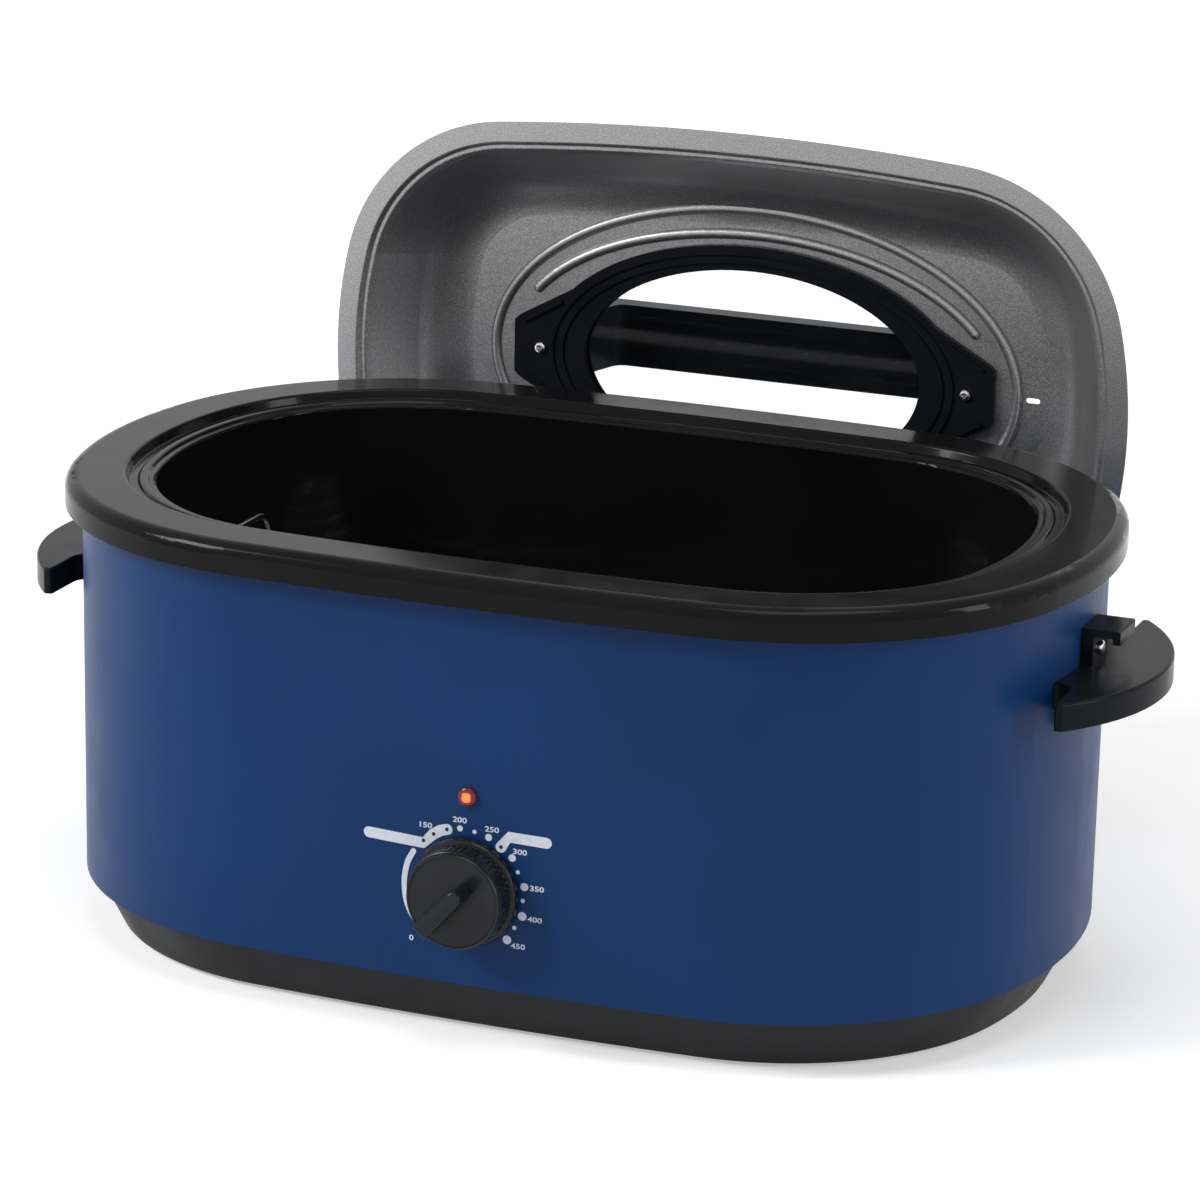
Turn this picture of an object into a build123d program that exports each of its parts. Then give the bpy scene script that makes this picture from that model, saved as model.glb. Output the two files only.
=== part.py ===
from build123d import *
from math import acos, cos, degrees, hypot, radians, sin, sqrt
import os

# Electric roaster oven with a lift-out pan, a wire rack and a loose domed lid that is parked
# upright on a rest behind the body. +X runs along the body towards the right handle, -Y is the
# side with the control, +Z is up. The origin is on the table under the middle of the body.
# All sizes are in millimetres.

# ---- body ----
shell_length = 540.0
shell_width = 358.0
shell_corner = 152.0
long_side_bow = 2000.0
end_bow = 244.0
shell_sheet = 0.8
shell_low = 30.0
shell_top = 238.0
hem_width = 9.0
seat_gap = 0.3              # between pieces that rest on or beside each other
fit_gap = 0.1               # round a screw, stem or bush in its hole

# ---- base ----
skirt_low = 2.0
skirt_top_inset = 5.0
skirt_bottom_inset = 19.0
skirt_wall = 3.0
skirt_top_wall = 4.0
skirt_flange = 20.0
skirt_flange_sheet = 2.5
skirt_edge_round = 2.2
plate_sheet = 1.2
plate_edge_gap = 2.0
vent_length = 44.0
vent_width = 4.0
vent_pitch = 12.0
vent_count = 7
vent_field_x = 75.0
foot_radius = 11.0
foot_stem_radius = 4.0
foot_x = 178.0
foot_y = 112.0
foot_edge = 1.0
foot_barb_flare = 1.5
foot_barb_height = 4.0
foot_barb_taper = 25.0
post_radius = 7.0
post_x = 120.0
post_y = 80.0
base_screw_radius = 2.0
base_screw_head_radius = 4.2
base_screw_head = 2.2
base_screw_round = 0.8
base_screw_depth = 12.0
post_bore_depth = 14.0

# ---- heating well, its band and the blanket round it ----
well_sheet = 0.8
well_inset = 30.0
well_low = 77.0
well_bend = 26.0
well_hem_bend = 2.0
floor_stub = 34.0           # level ring between a bent wall and its flat floor
band_sheet = 1.2
band_low = 120.0
band_high = 194.0
band_lug_length = 24.0
band_lug_width = 6.6
band_lug_drop = 4.0
band_lug_spacing = 22.0
blanket_thickness = 9.0
blanket_low = 116.0
blanket_high = 226.0

# ---- roasting pan ----
pan_sheet = 1.0
rim_top = 245.5
rim_low = 229.5
rim_overhang = 9.0
rim_width = 31.0
rim_round = 6.5
ledge_drop = 5.0
ledge_width = 16.0
ledge_step_run = 2.0
ledge_bead = 1.6
ledge_bead_width = 6.0
ledge_bead_flank = 1.5
ledge_bead_margin = 3.0
pan_draft = 4.0
pan_low = 86.0
pan_bend = 24.0

# ---- wire rack ----
rack_inset = 58.0
rack_wire_radius = 2.5
rack_cross_radius = 2.0
rack_weld = 0.6             # depth two wires sink into each other
rack_cross_overrun = 1.0
rack_height = 16.0
rack_cross_pitch = 42.0
rack_cross_count = 9
rack_rail_y = 48.0
rack_leg_x = 126.0          # under the outermost cross wires but one
rack_leg_inset = 71.0
rack_leg_radius = 1.7
rack_loop_half = 42.0
rack_loop_height = 92.0
rack_loop_bend = 12.0

# ---- control on the front ----
control_x = 6.5
knob_z = 80.5
knob_skirt_radius = 28.5
knob_face_radius = 24.5
knob_depth = 18.0
knob_skirt_depth = 5.0
knob_stand_off = 0.8
knob_wall = 2.6
knob_face_sheet = 3.0
knob_skirt_round = 2.0
knob_face_depth = 2.0
knob_face_round = 1.4
knob_drum_radius = 25.7
knob_flutes = 48
knob_flute_radius = 0.7
pointer_reach = 27.5
pointer_width = 8.0
pointer_height = 3.0
pointer_foot = 3.0          # above the knob's skirt
pointer_chamfer = 1.4
pointer_off_angle = 233.0   # from +X towards +Z, seen from the front
shaft_radius = 3.0
shaft_clearance = 0.05
shaft_drop = 7.0            # below the knob's face
shaft_flat_height = 2.5     # from the shaft's centre
shaft_flat_stop = 12.0      # below the knob's face
shaft_depth = 11.0          # inside the thermostat
shaft_end_gap = 2.0
bush_radius = 5.0
bush_projection = 0.4       # beyond its nut
bush_nut_across = 14.0
nut_room_radius = 8.7
bush_nut_height = 2.4
thermostat_width = 38.0
thermostat_height = 34.0
thermostat_depth = 17.0
thermostat_corner = 3.0
thermostat_tab = (1.0, 6.5, 6.0)
bracket_sheet = 1.5
bracket_width = 52.0
bracket_height = 40.0
bracket_corner = 4.0
lamp_z = 130.0
lens_radius = 5.0
lens_dome = 1.6
lens_height = 2.4
lens_stem_radius = 4.2
lens_stem_end = 1.0         # beyond its clip
lamp_clip_radius = 8.0
lamp_clip_sheet = 0.8
lamp_body_length = 11.0
lamp_body_radius = 5.4
lamp_lead_radius = 0.6
lamp_lead_length = 2.5
lamp_lead_spacing = 5.0

# ---- side handles ----
handle_reach = 41.0
handle_top = 186.0
handle_thickness = 14.0
handle_half = 80.0
handle_tip_width = 4.1
handle_stand_off = 6.0
handle_neck_half = 46.0
handle_tip_round = 1.8
handle_root_round = 8.0
handle_edge_round = 1.6
handle_root = 20.0          # drawn this far inside the shell, then cut to its wall
escutcheon_half = 37.0
escutcheon_low = 159.0
escutcheon_high = 181.0
escutcheon_thickness = 6.0
escutcheon_corner = 4.0
hook_half = 13.5
hook_flare = 19.0
hook_flare_height = 6.0
hook_round = 1.2
hook_top = 206.0
hook_reach = 20.0
hook_thickness = 4.0
hook_lip = 3.0
handle_screw_low = 165.3
handle_screw_high = 193.0
handle_screw_radius = 2.0
handle_screw_head_radius = 3.6
handle_screw_head = 2.2
handle_nut_across = 7.0
handle_nut_height = 3.0
handle_screw_end = 2.0      # beyond its nut

# ---- cord inlet and terminal block ----
inlet_x = 105.0
inlet_z = 50.0
inlet_flange_radius = 10.0
inlet_body_radius = 7.5
inlet_bore_radius = 3.8
inlet_flange = 3.0
inlet_length = 12.0
terminal_x = 88.0
terminal_rear_gap = 67.0
terminal_length = 34.0
terminal_width = 16.0
terminal_height = 13.0
terminal_corner = 2.0
terminal_hole_radius = 2.6
terminal_hole_depth = 7.0

# ---- lid, parked upright: its flange faces the body and its dome points to the rear ----
lid_length = 466.0
lid_width = 288.0
lid_corner = 103.0
lid_side_bow = 1500.0
lid_end_bow = 260.0
lid_sheet = 0.8
lid_depth = 50.5
lid_flange = 11.5
lid_step = 3.0
lid_step_run = 1.5
lid_step_ledge = 4.0
lid_wall_foot = 18.0
lid_wall_head = 44.0
lid_shoulder = 32.0
lid_panel_stub = 66.0
lid_centre_z = 253.0
lid_clearance = 3.0         # between the pan's rim and the lid's flange
bead_radius = 3.2
bead_centre_lift = 0.7
outer_bead_x = 156.0
outer_bead_y = 91.0
inner_bead_x = 145.0
inner_bead_y = 77.0
inner_bead_end_x = 130.0
vent_slot_x = 165.0
vent_slot_length = 8.0
vent_slot_width = 3.0

# ---- window, bezel and handle of the lid ----
window_x = 100.0
window_y = 57.0
glass_x = 110.0
glass_y = 63.0
glass_thickness = 4.0
gasket_width = 2.6
bezel_x = 125.0
bezel_y = 71.0
bezel_thickness = 4.0
bezel_rib = 1.1
bezel_rib_offsets = ((5.0, 4.0), (11.0, 8.8))
ear_root_x = 97.0
ear_root_y = 42.0
ear_tip_x = 143.0
ear_tip_y = 18.0
ear_chamfer = 3.0
ear_rib_start = (114.0, 28.5)
ear_rib_inset = 3.0
ear_rib_width = 2.0
ear_rib_height = 1.5
frame_height = 6.0
frame_margin = 1.5
grip_width = 36.0
grip_gap = 40.0
grip_thickness = 13.0
grip_foot_inner = 110.0
grip_foot_outer = 135.0
grip_lean = 12.0
grip_top_round = 14.0
grip_under_round = 7.0
grip_rib_pitch = 11.0
grip_rib_width = 2.0
grip_rib_height = 1.8
lid_screw_x = 127.0
lid_screw_radius = 1.8
lid_screw_head_radius = 3.3
lid_screw_head = 2.2
lid_screw_round = 0.9
lid_screw_length = 24.0

# ---- rest behind the body that carries the lid's lower edge ----
rest_x = 100.0
rest_width = 22.0
rest_strap = 3.0
rest_high = 172.0
rest_lip = 12.0
rest_trough = 8.5
rest_screw_drop = 12.0      # below the strap's top
rest_screw_spacing = 36.0
rest_screw_radius = 2.0
rest_screw_head_radius = 3.8
rest_screw_head = 2.2
rest_screw_length = 12.0
rest_bend = 2.5
rest_root = 5.0             # drawn this far inside the shell, then cut to its wall

# ---- sizes that follow ----
body_plan = (shell_length, shell_width, shell_corner, long_side_bow, end_bow)
lid_plan = (lid_length, lid_width, lid_corner, lid_side_bow, lid_end_bow)
end_x = shell_length / 2
front_y = -shell_width / 2
rear_y = shell_width / 2
plate_low = skirt_low + skirt_flange_sheet
plate_top = plate_low + plate_sheet
ledge_z = rim_top - ledge_drop
ledge_inset = rim_width - rim_overhang
pan_wall_inset = ledge_inset + ledge_width
lid_y = rear_y + rim_overhang + lid_clearance

front = Plane(origin=(0, front_y, 0), x_dir=(1, 0, 0), z_dir=(0, -1, 0))
rear = Plane(origin=(0, rear_y, 0), x_dir=(-1, 0, 0), z_dir=(0, 1, 0))
right_end = Plane(origin=(end_x, 0, 0), x_dir=(0, 1, 0), z_dir=(1, 0, 0))
left_end = Plane(origin=(-end_x, 0, 0), x_dir=(0, -1, 0), z_dir=(-1, 0, 0))
lid_plane = Plane(origin=(0, lid_y, lid_centre_z), x_dir=(1, 0, 0), z_dir=(0, 1, 0))


def oval(plan, inset):
    """Face of a bowed oval: four large arcs with round corners, set in by a distance."""
    length, width, corner, side_bow, short_bow = plan
    with BuildSketch(mode=Mode.PRIVATE) as outline:
        Rectangle(length, 2 * width, align=(Align.MIN, Align.CENTER))
        for side in (-1, 1):
            with Locations((0, side * (width / 2 - side_bow))):
                Circle(side_bow - inset, mode=Mode.INTERSECT)
        with Locations((length / 2 - short_bow, 0)):
            Circle(short_bow - inset, mode=Mode.INTERSECT)
        fillet(outline.vertices().filter_by(lambda point: point.X > corner / 2), corner - inset)
        mirror(about=Plane.YZ)
    return outline.face()


def oval_path(plan, plane=Plane.XY):
    """Closed outline of an oval on a plane, for sweeping a section round it."""
    with BuildSketch(plane) as outline:
        add(oval(plan, 0))
    return outline.sketch.face().outer_wire()


def oval_block(plan, inset, low, high, plane=Plane.XY, mode=Mode.ADD):
    """Solid oval between two heights above a plane, added to or cut from the open part."""
    with BuildSketch(plane.offset(low)) as slab:
        add(oval(plan, inset))
    extrude(slab.sketch, amount=high - low, mode=mode)


def section_plane(path, up):
    """Plane across a path where it starts: X points into the oval and Y points up."""
    return Plane(origin=path @ 0, x_dir=up.cross(path % 0), z_dir=path % 0)


def sheet_ring(path, up, points, bends, sheet):
    """Sheet swept round an oval; the points are (inset, height) along its middle."""
    with BuildSketch(section_plane(path, up)) as strip:
        with BuildLine():
            FilletPolyline(*points, radius=bends)
        trace(line_width=sheet)
    sweep(strip.sketch, path=path)


def bored(plane, places, radius, depth, mode=Mode.SUBTRACT):
    """Round holes, or pins in mode ADD, from a plane to a depth on both sides of it."""
    with BuildSketch(plane) as spots:
        with Locations(*places):
            Circle(radius)
    extrude(spots.sketch, amount=depth, both=True, mode=mode)


def corner_centre(plan):
    """Centre of an oval's corner arc in the quarter with positive X and Y."""
    length, width, corner, side_bow, short_bow = plan
    run, drop = length / 2 - short_bow, side_bow - width / 2
    side_gap, end_gap, span = side_bow - corner, short_bow - corner, hypot(run, drop)
    along = (side_gap ** 2 - end_gap ** 2 + span ** 2) / (2 * span)
    across = sqrt(side_gap ** 2 - along ** 2)
    return (run * along + drop * across) / span, (drop * along - run * across) / span - drop


def side_reach(plan, x, inset):
    """Half width of an oval, set in by a distance, at a place along it."""
    width, corner, side_bow = plan[1:4]
    corner_x, corner_y = corner_centre(plan)
    if abs(x) < corner_x * (side_bow - inset) / (side_bow - corner):
        return width / 2 - side_bow + sqrt((side_bow - inset) ** 2 - x ** 2)
    return corner_y + sqrt((corner - inset) ** 2 - (abs(x) - corner_x) ** 2)


def end_reach(plan, y, inset):
    """Half length of an oval at a distance across it, on its bowed end."""
    length, short_bow = plan[0], plan[4]
    return length / 2 - short_bow + sqrt((short_bow - inset) ** 2 - y ** 2)


body_path = oval_path(body_plan)
lid_path = oval_path(lid_plan, lid_plane)
up = Vector(0, 0, 1)
rest_screws_at = [
    (side * rest_x, rest_high - rest_screw_drop - step * rest_screw_spacing)
    for side in (-1, 1)
    for step in (0, 1)
]
lid_screws_at = [(-lid_screw_x, 0), (lid_screw_x, 0)]
handle_screws_at = [(0, handle_screw_low), (0, handle_screw_high)]
post_places = [(sx * post_x, sy * post_y) for sx in (-1, 1) for sy in (-1, 1)]
foot_places = [(sx * foot_x, sy * foot_y) for sx in (-1, 1) for sy in (-1, 1)]

# ---- painted steel shell, hemmed inwards at its top and bottom ----
with BuildPart() as outer_shell:
    with BuildSketch(section_plane(body_path, up)) as wall:
        with Locations((hem_width / 2, (shell_low + shell_top) / 2)):
            Rectangle(hem_width, shell_top - shell_low)
        with Locations((hem_width / 2 + shell_sheet, (shell_low + shell_top) / 2)):
            Rectangle(hem_width, shell_top - shell_low - 2 * shell_sheet, mode=Mode.SUBTRACT)
    sweep(wall.sketch, path=body_path)
    bored(front, [(control_x, knob_z)], bush_radius + fit_gap, hem_width)
    bored(front, [(control_x, lamp_z)], lens_stem_radius + fit_gap, hem_width)
    bored(rear, [(-inlet_x, inlet_z)], inlet_body_radius + fit_gap, hem_width)
    bored(rear, rest_screws_at, rest_screw_radius + fit_gap, hem_width)
    for end in (right_end, left_end):
        bored(end, handle_screws_at, handle_screw_radius + fit_gap, hem_width)
outer_shell.part.label = "outer_shell"

# ---- tapered base skirt with a flange inside for the bottom plate ----
with BuildPart() as base_skirt:
    with BuildSketch(section_plane(body_path, up)) as skirt:
        with BuildLine():
            Polyline(
                (skirt_top_inset, shell_low),
                (skirt_bottom_inset, skirt_low),
                (skirt_bottom_inset + skirt_flange, skirt_low),
                (skirt_bottom_inset + skirt_flange, plate_low),
                (skirt_bottom_inset + skirt_wall, plate_low),
                (skirt_top_inset + skirt_top_wall, shell_low),
                close=True,
            )
        make_face()
        bottom_corner = skirt.vertices().sort_by_distance((skirt_bottom_inset, skirt_low))[0]
        fillet(bottom_corner, skirt_edge_round)
    sweep(skirt.sketch, path=body_path)
    with BuildSketch(Plane.XY.offset(skirt_low)) as relief:
        with Locations(*foot_places):
            Circle(foot_radius + seat_gap)
    extrude(relief.sketch, amount=plate_low - skirt_low, mode=Mode.SUBTRACT)
base_skirt.part.label = "base_skirt"

# ---- steel bottom plate with two fields of cooling slots ----
plate_inset = skirt_bottom_inset + skirt_wall + plate_edge_gap
with BuildPart() as bottom_plate:
    oval_block(body_plan, plate_inset, plate_low, plate_top)
    with BuildSketch(Plane.XY.offset(plate_low)) as cuts:
        for side in (-1, 1):
            with Locations((side * vent_field_x, 0)):
                with GridLocations(0, vent_pitch, 1, vent_count):
                    SlotOverall(vent_length, vent_width)
        with Locations(*post_places):
            Circle(base_screw_radius + fit_gap)
        with Locations(*foot_places):
            Circle(foot_stem_radius + fit_gap)
    extrude(cuts.sketch, amount=plate_sheet, mode=Mode.SUBTRACT)
bottom_plate.part.label = "bottom_plate"

# ---- four rubber feet with barbed stems through the plate ----
with BuildPart() as rubber_feet:
    with BuildSketch() as pads:
        with Locations(*foot_places):
            Circle(foot_radius)
    extrude(pads.sketch, amount=plate_low)
    chamfer(rubber_feet.faces().group_by(Axis.Z)[0].edges(), foot_edge)
    with BuildSketch(Plane.XY.offset(plate_low)) as stems:
        with Locations(*foot_places):
            Circle(foot_stem_radius)
    extrude(stems.sketch, amount=plate_sheet)
    with BuildSketch(Plane.XY.offset(plate_top)) as barbs:
        with Locations(*foot_places):
            Circle(foot_stem_radius + foot_barb_flare)
    extrude(barbs.sketch, amount=foot_barb_height, taper=foot_barb_taper)
rubber_feet.part.label = "rubber_feet"

# ---- four posts between the bottom plate and the well's floor, with a screw in each ----
with BuildPart() as well_posts:
    with BuildSketch(Plane.XY.offset(plate_top)) as posts:
        with Locations(*post_places):
            Circle(post_radius)
    extrude(posts.sketch, amount=well_low - plate_top)
    with BuildSketch(Plane.XY.offset(plate_top)) as threads:
        with Locations(*post_places):
            Circle(base_screw_radius + fit_gap)
    extrude(threads.sketch, amount=post_bore_depth, mode=Mode.SUBTRACT)
well_posts.part.label = "well_posts"

with BuildPart() as base_screws:
    with BuildSketch(Plane.XY.offset(plate_low - base_screw_head)) as heads:
        with Locations(*post_places):
            Circle(base_screw_head_radius)
    extrude(heads.sketch, amount=base_screw_head)
    fillet(base_screws.faces().group_by(Axis.Z)[0].edges(), base_screw_round)
    with BuildSketch(Plane.XY.offset(plate_low)) as shanks:
        with Locations(*post_places):
            Circle(base_screw_radius)
    extrude(shanks.sketch, amount=plate_sheet + base_screw_depth)
base_screws.part.label = "base_screws"

# ---- heating well: steel liner hung from the shell's top hem ----
well_mid = well_inset + well_sheet / 2
well_floor = well_low + well_sheet / 2
well_floor_inset = well_mid + floor_stub
with BuildPart() as heating_well:
    sheet_ring(
        body_path,
        up,
        [
            (seat_gap, shell_top + well_sheet / 2),
            (well_mid, shell_top + well_sheet / 2),
            (well_mid, well_floor),
            (well_floor_inset, well_floor),
        ],
        [well_hem_bend, well_bend],
        well_sheet,
    )
    oval_block(body_plan, well_floor_inset, well_low, well_low + well_sheet)
heating_well.part.label = "heating_well"

# ---- heating band round the well, with two lugs at the rear ----
with BuildPart() as heating_band:
    oval_block(body_plan, well_inset - seat_gap - band_sheet, band_low, band_high)
    oval_block(body_plan, well_inset - seat_gap, band_low, band_high, mode=Mode.SUBTRACT)
    lug_y = rear_y - well_inset + seat_gap
    with BuildSketch(Plane.XZ.offset(-lug_y)) as lugs:
        with Locations(*[(side * band_lug_spacing / 2, band_low - band_lug_drop) for side in (-1, 1)]):
            SlotOverall(band_lug_length, band_lug_width, rotation=90)
    extrude(lugs.sketch, amount=-band_sheet)
heating_band.part.label = "heating_band"

# ---- glass-fibre blanket between the band and the shell ----
blanket_inner = well_inset - 2 * seat_gap - band_sheet
with BuildPart() as insulation_blanket:
    oval_block(body_plan, blanket_inner - blanket_thickness, blanket_low, blanket_high)
    oval_block(body_plan, blanket_inner, blanket_low, blanket_high, mode=Mode.SUBTRACT)
insulation_blanket.part.label = "insulation_blanket"

# ---- roasting pan with its wide rolled rim, lid ledge and drafted wall ----
half_sheet = pan_sheet / 2
rim_mid = rim_top - half_sheet
ledge_mid = ledge_z - half_sheet
pan_floor = pan_low + half_sheet
pan_floor_inset = pan_wall_inset + pan_draft + floor_stub
bead_start = pan_wall_inset - ledge_bead_width - ledge_bead_margin
bead_end = bead_start + ledge_bead_width
with BuildPart() as roasting_pan:
    sheet_ring(
        body_path,
        up,
        [
            (half_sheet - rim_overhang, rim_low),
            (half_sheet - rim_overhang, rim_mid),
            (ledge_inset, rim_mid),
            (ledge_inset + ledge_step_run, ledge_mid),
            (bead_start, ledge_mid),
            (bead_start + ledge_bead_flank, ledge_mid + ledge_bead),
            (bead_end - ledge_bead_flank, ledge_mid + ledge_bead),
            (bead_end, ledge_mid),
            (pan_wall_inset, ledge_mid),
            (pan_wall_inset + pan_draft, pan_floor),
            (pan_floor_inset, pan_floor),
        ],
        [rim_round, 1.4, 1.4, 1.0, 1.0, 1.0, 1.0, 1.2, pan_bend],
        pan_sheet,
    )
    oval_block(body_plan, pan_floor_inset, pan_low, pan_low + pan_sheet)
roasting_pan.part.label = "roasting_pan"

# ---- wire rack that stands on the pan's floor ----
rack_floor = pan_low + pan_sheet + seat_gap
rack_z = rack_floor + rack_height
with BuildPart() as wire_rack:
    rack_plan_path = Plane.XY.offset(rack_z) * oval(body_plan, rack_inset).outer_wire()
    with BuildSketch(section_plane(rack_plan_path, up)) as hoop:
        Circle(rack_wire_radius)
    sweep(hoop.sketch, path=rack_plan_path)
    cross_z = rack_z + rack_wire_radius + rack_cross_radius - rack_weld
    for index in range(rack_cross_count):
        x = (index - (rack_cross_count - 1) / 2) * rack_cross_pitch
        with BuildSketch(Plane.XZ) as rod:
            with Locations((x, cross_z)):
                Circle(rack_cross_radius)
        reach = side_reach(body_plan, x, rack_inset) + rack_cross_overrun
        extrude(rod.sketch, amount=reach, both=True)
    rail_z = rack_z + rack_wire_radius - rack_cross_radius - rack_weld
    for rail_y in (-rack_rail_y, 0, rack_rail_y):
        with BuildSketch(Plane.YZ) as rail:
            with Locations((rail_y, rail_z)):
                Circle(rack_cross_radius)
        extrude(rail.sketch, amount=end_reach(body_plan, rail_y, rack_inset), both=True)
    leg_y = side_reach(body_plan, rack_leg_x, rack_leg_inset)
    for sx in (-1, 1):
        for sy in (-1, 1):
            with BuildSketch(Plane.XY.offset(rack_floor)) as leg:
                with Locations((sx * rack_leg_x, sy * leg_y)):
                    Circle(rack_leg_radius)
            extrude(leg.sketch, amount=cross_z - rack_floor)
        loop_x = sx * end_reach(body_plan, rack_loop_half, rack_inset)
        loop_top = rack_z + rack_loop_height
        with BuildLine() as loop:
            FilletPolyline(
                (loop_x, -rack_loop_half, rack_z),
                (loop_x, -rack_loop_half, loop_top),
                (loop_x, rack_loop_half, loop_top),
                (loop_x, rack_loop_half, rack_z),
                radius=rack_loop_bend,
            )
        with BuildSketch(Plane(origin=loop.line @ 0, z_dir=loop.line % 0)) as wire_section:
            Circle(rack_cross_radius)
        sweep(wire_section.sketch, path=loop.line)
wire_rack.part.label = "wire_rack"

# ---- thermostat behind the shell, on its bracket ----
bracket_y = shell_sheet + seat_gap
body_y = bracket_y + bracket_sheet
bush_tip = bush_nut_height + bush_projection
with BuildPart() as thermostat_bracket:
    with BuildSketch(front.offset(-bracket_y)) as strap:
        with Locations((control_x, knob_z)):
            RectangleRounded(bracket_width, bracket_height, bracket_corner)
            Circle(bush_radius + fit_gap, mode=Mode.SUBTRACT)
    extrude(strap.sketch, amount=-bracket_sheet)
thermostat_bracket.part.label = "thermostat_bracket"

with BuildPart() as thermostat_body:
    with BuildSketch(front.offset(-body_y)) as case:
        with Locations((control_x, knob_z)):
            RectangleRounded(thermostat_width, thermostat_height, thermostat_corner)
    extrude(case.sketch, amount=-thermostat_depth)
    with BuildSketch(front.offset(-body_y)) as bush:
        with Locations((control_x, knob_z)):
            Circle(bush_radius)
    extrude(bush.sketch, amount=body_y + bush_tip)
    with BuildSketch(front.offset(bush_tip)) as bush_bore:
        with Locations((control_x, knob_z)):
            Circle(shaft_radius + shaft_clearance)
    bore_depth = bush_tip + body_y + shaft_depth + shaft_end_gap
    extrude(bush_bore.sketch, amount=-bore_depth, mode=Mode.SUBTRACT)
    tab_sheet, tab_width, tab_length = thermostat_tab
    with BuildSketch(front.offset(-body_y - thermostat_depth)) as tabs:
        for side in (-1, 1):
            with Locations((control_x + side * thermostat_width / 4, knob_z)):
                Rectangle(tab_sheet, tab_width)
    extrude(tabs.sketch, amount=-tab_length)
thermostat_body.part.label = "thermostat_body"

with BuildPart() as bush_nut:
    with BuildSketch(front) as nut:
        with Locations((control_x, knob_z)):
            RegularPolygon(bush_nut_across / 2, 6, major_radius=False)
            Circle(bush_radius + fit_gap, mode=Mode.SUBTRACT)
    extrude(nut.sketch, amount=bush_nut_height)
bush_nut.part.label = "bush_nut"

# ---- thermostat shaft with a flat, carried by the knob ----
knob_front = knob_stand_off + knob_depth
shaft_front = knob_front - shaft_drop
with BuildPart() as thermostat_shaft:
    with BuildSketch(front.offset(shaft_front)) as rod_end:
        with Locations((control_x, knob_z)):
            Circle(shaft_radius)
    extrude(rod_end.sketch, amount=-(shaft_front + body_y + shaft_depth))
    with BuildSketch(front.offset(shaft_front)) as flat:
        with Locations((control_x, knob_z + shaft_flat_height + shaft_radius)):
            Rectangle(4 * shaft_radius, 2 * shaft_radius)
    extrude(flat.sketch, amount=shaft_drop - shaft_flat_stop, mode=Mode.SUBTRACT)
thermostat_shaft.part.label = "thermostat_shaft"

# ---- knob: fluted skirt, drum, disc face and a pointer bar across one side ----
pointer_direction = Vector(cos(radians(pointer_off_angle)), sin(radians(pointer_off_angle)))
with BuildPart() as knob:
    with BuildSketch(front.offset(knob_stand_off)) as skirt_disc:
        with Locations((control_x, knob_z)):
            Circle(knob_skirt_radius)
    extrude(skirt_disc.sketch, amount=knob_skirt_depth)
    fillet(knob.edges().filter_by(GeomType.CIRCLE).sort_by(Axis.Y)[0], knob_skirt_round)
    with BuildSketch(front.offset(knob_stand_off + knob_skirt_depth)) as drum:
        with Locations((control_x, knob_z)):
            Circle(knob_drum_radius)
            with PolarLocations(knob_drum_radius, knob_flutes):
                Circle(knob_flute_radius, mode=Mode.SUBTRACT)
    extrude(drum.sketch, amount=knob_depth - knob_skirt_depth - knob_face_depth)
    with BuildSketch(front.offset(knob_front - knob_face_depth)) as face_disc:
        with Locations((control_x, knob_z)):
            Circle(knob_face_radius)
    extrude(face_disc.sketch, amount=knob_face_depth)
    fillet(knob.edges().filter_by(GeomType.CIRCLE).sort_by(Axis.Y)[0], knob_face_round)
    middle = Vector(control_x, knob_z) + pointer_direction * (pointer_reach / 2)
    bar_foot = knob_stand_off + knob_skirt_depth + pointer_foot
    with BuildSketch(front.offset(bar_foot)) as bar:
        with Locations(Location((middle.X, middle.Y), (0, 0, pointer_off_angle))):
            SlotOverall(pointer_reach + pointer_width, pointer_width)
    extrude(bar.sketch, amount=knob_front + pointer_height - bar_foot)
    chamfer(knob.faces().sort_by(Axis.Y)[0].edges(), pointer_chamfer)
    with BuildSketch(front.offset(knob_stand_off)) as hollow:
        with Locations((control_x, knob_z)):
            Circle(knob_face_radius - knob_wall)
            Circle(shaft_radius + knob_wall, mode=Mode.SUBTRACT)
    extrude(hollow.sketch, amount=knob_depth - knob_face_sheet, mode=Mode.SUBTRACT)
    with BuildSketch(front.offset(knob_stand_off)) as nut_room:
        with Locations((control_x, knob_z)):
            Circle(nut_room_radius)
    extrude(nut_room.sketch, amount=bush_tip, mode=Mode.SUBTRACT)
    with BuildSketch(front.offset(knob_stand_off)) as socket:
        with Locations((control_x, knob_z)):
            Circle(shaft_radius + fit_gap)
    extrude(socket.sketch, amount=shaft_front - knob_stand_off + fit_gap, mode=Mode.SUBTRACT)
knob.part.label = "knob"

# ---- indicator: red lens through the shell, push-on clip and lamp body behind it ----
lamp_front = shell_sheet + lamp_clip_sheet + lens_stem_end
with BuildPart() as indicator_lens:
    with BuildSketch(front) as lens_head:
        with Locations((control_x, lamp_z)):
            Circle(lens_radius)
    extrude(lens_head.sketch, amount=lens_height)
    fillet(indicator_lens.edges().sort_by(Axis.Y)[0], lens_dome)
    with BuildSketch(front) as lens_stem:
        with Locations((control_x, lamp_z)):
            Circle(lens_stem_radius)
    extrude(lens_stem.sketch, amount=-lamp_front)
indicator_lens.part.label = "indicator_lens"

with BuildPart() as indicator_clip:
    with BuildSketch(front.offset(-shell_sheet - fit_gap)) as clip:
        with Locations((control_x, lamp_z)):
            Circle(lamp_clip_radius)
            Circle(lens_stem_radius + fit_gap, mode=Mode.SUBTRACT)
    extrude(clip.sketch, amount=-lamp_clip_sheet)
indicator_clip.part.label = "indicator_clip"

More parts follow.
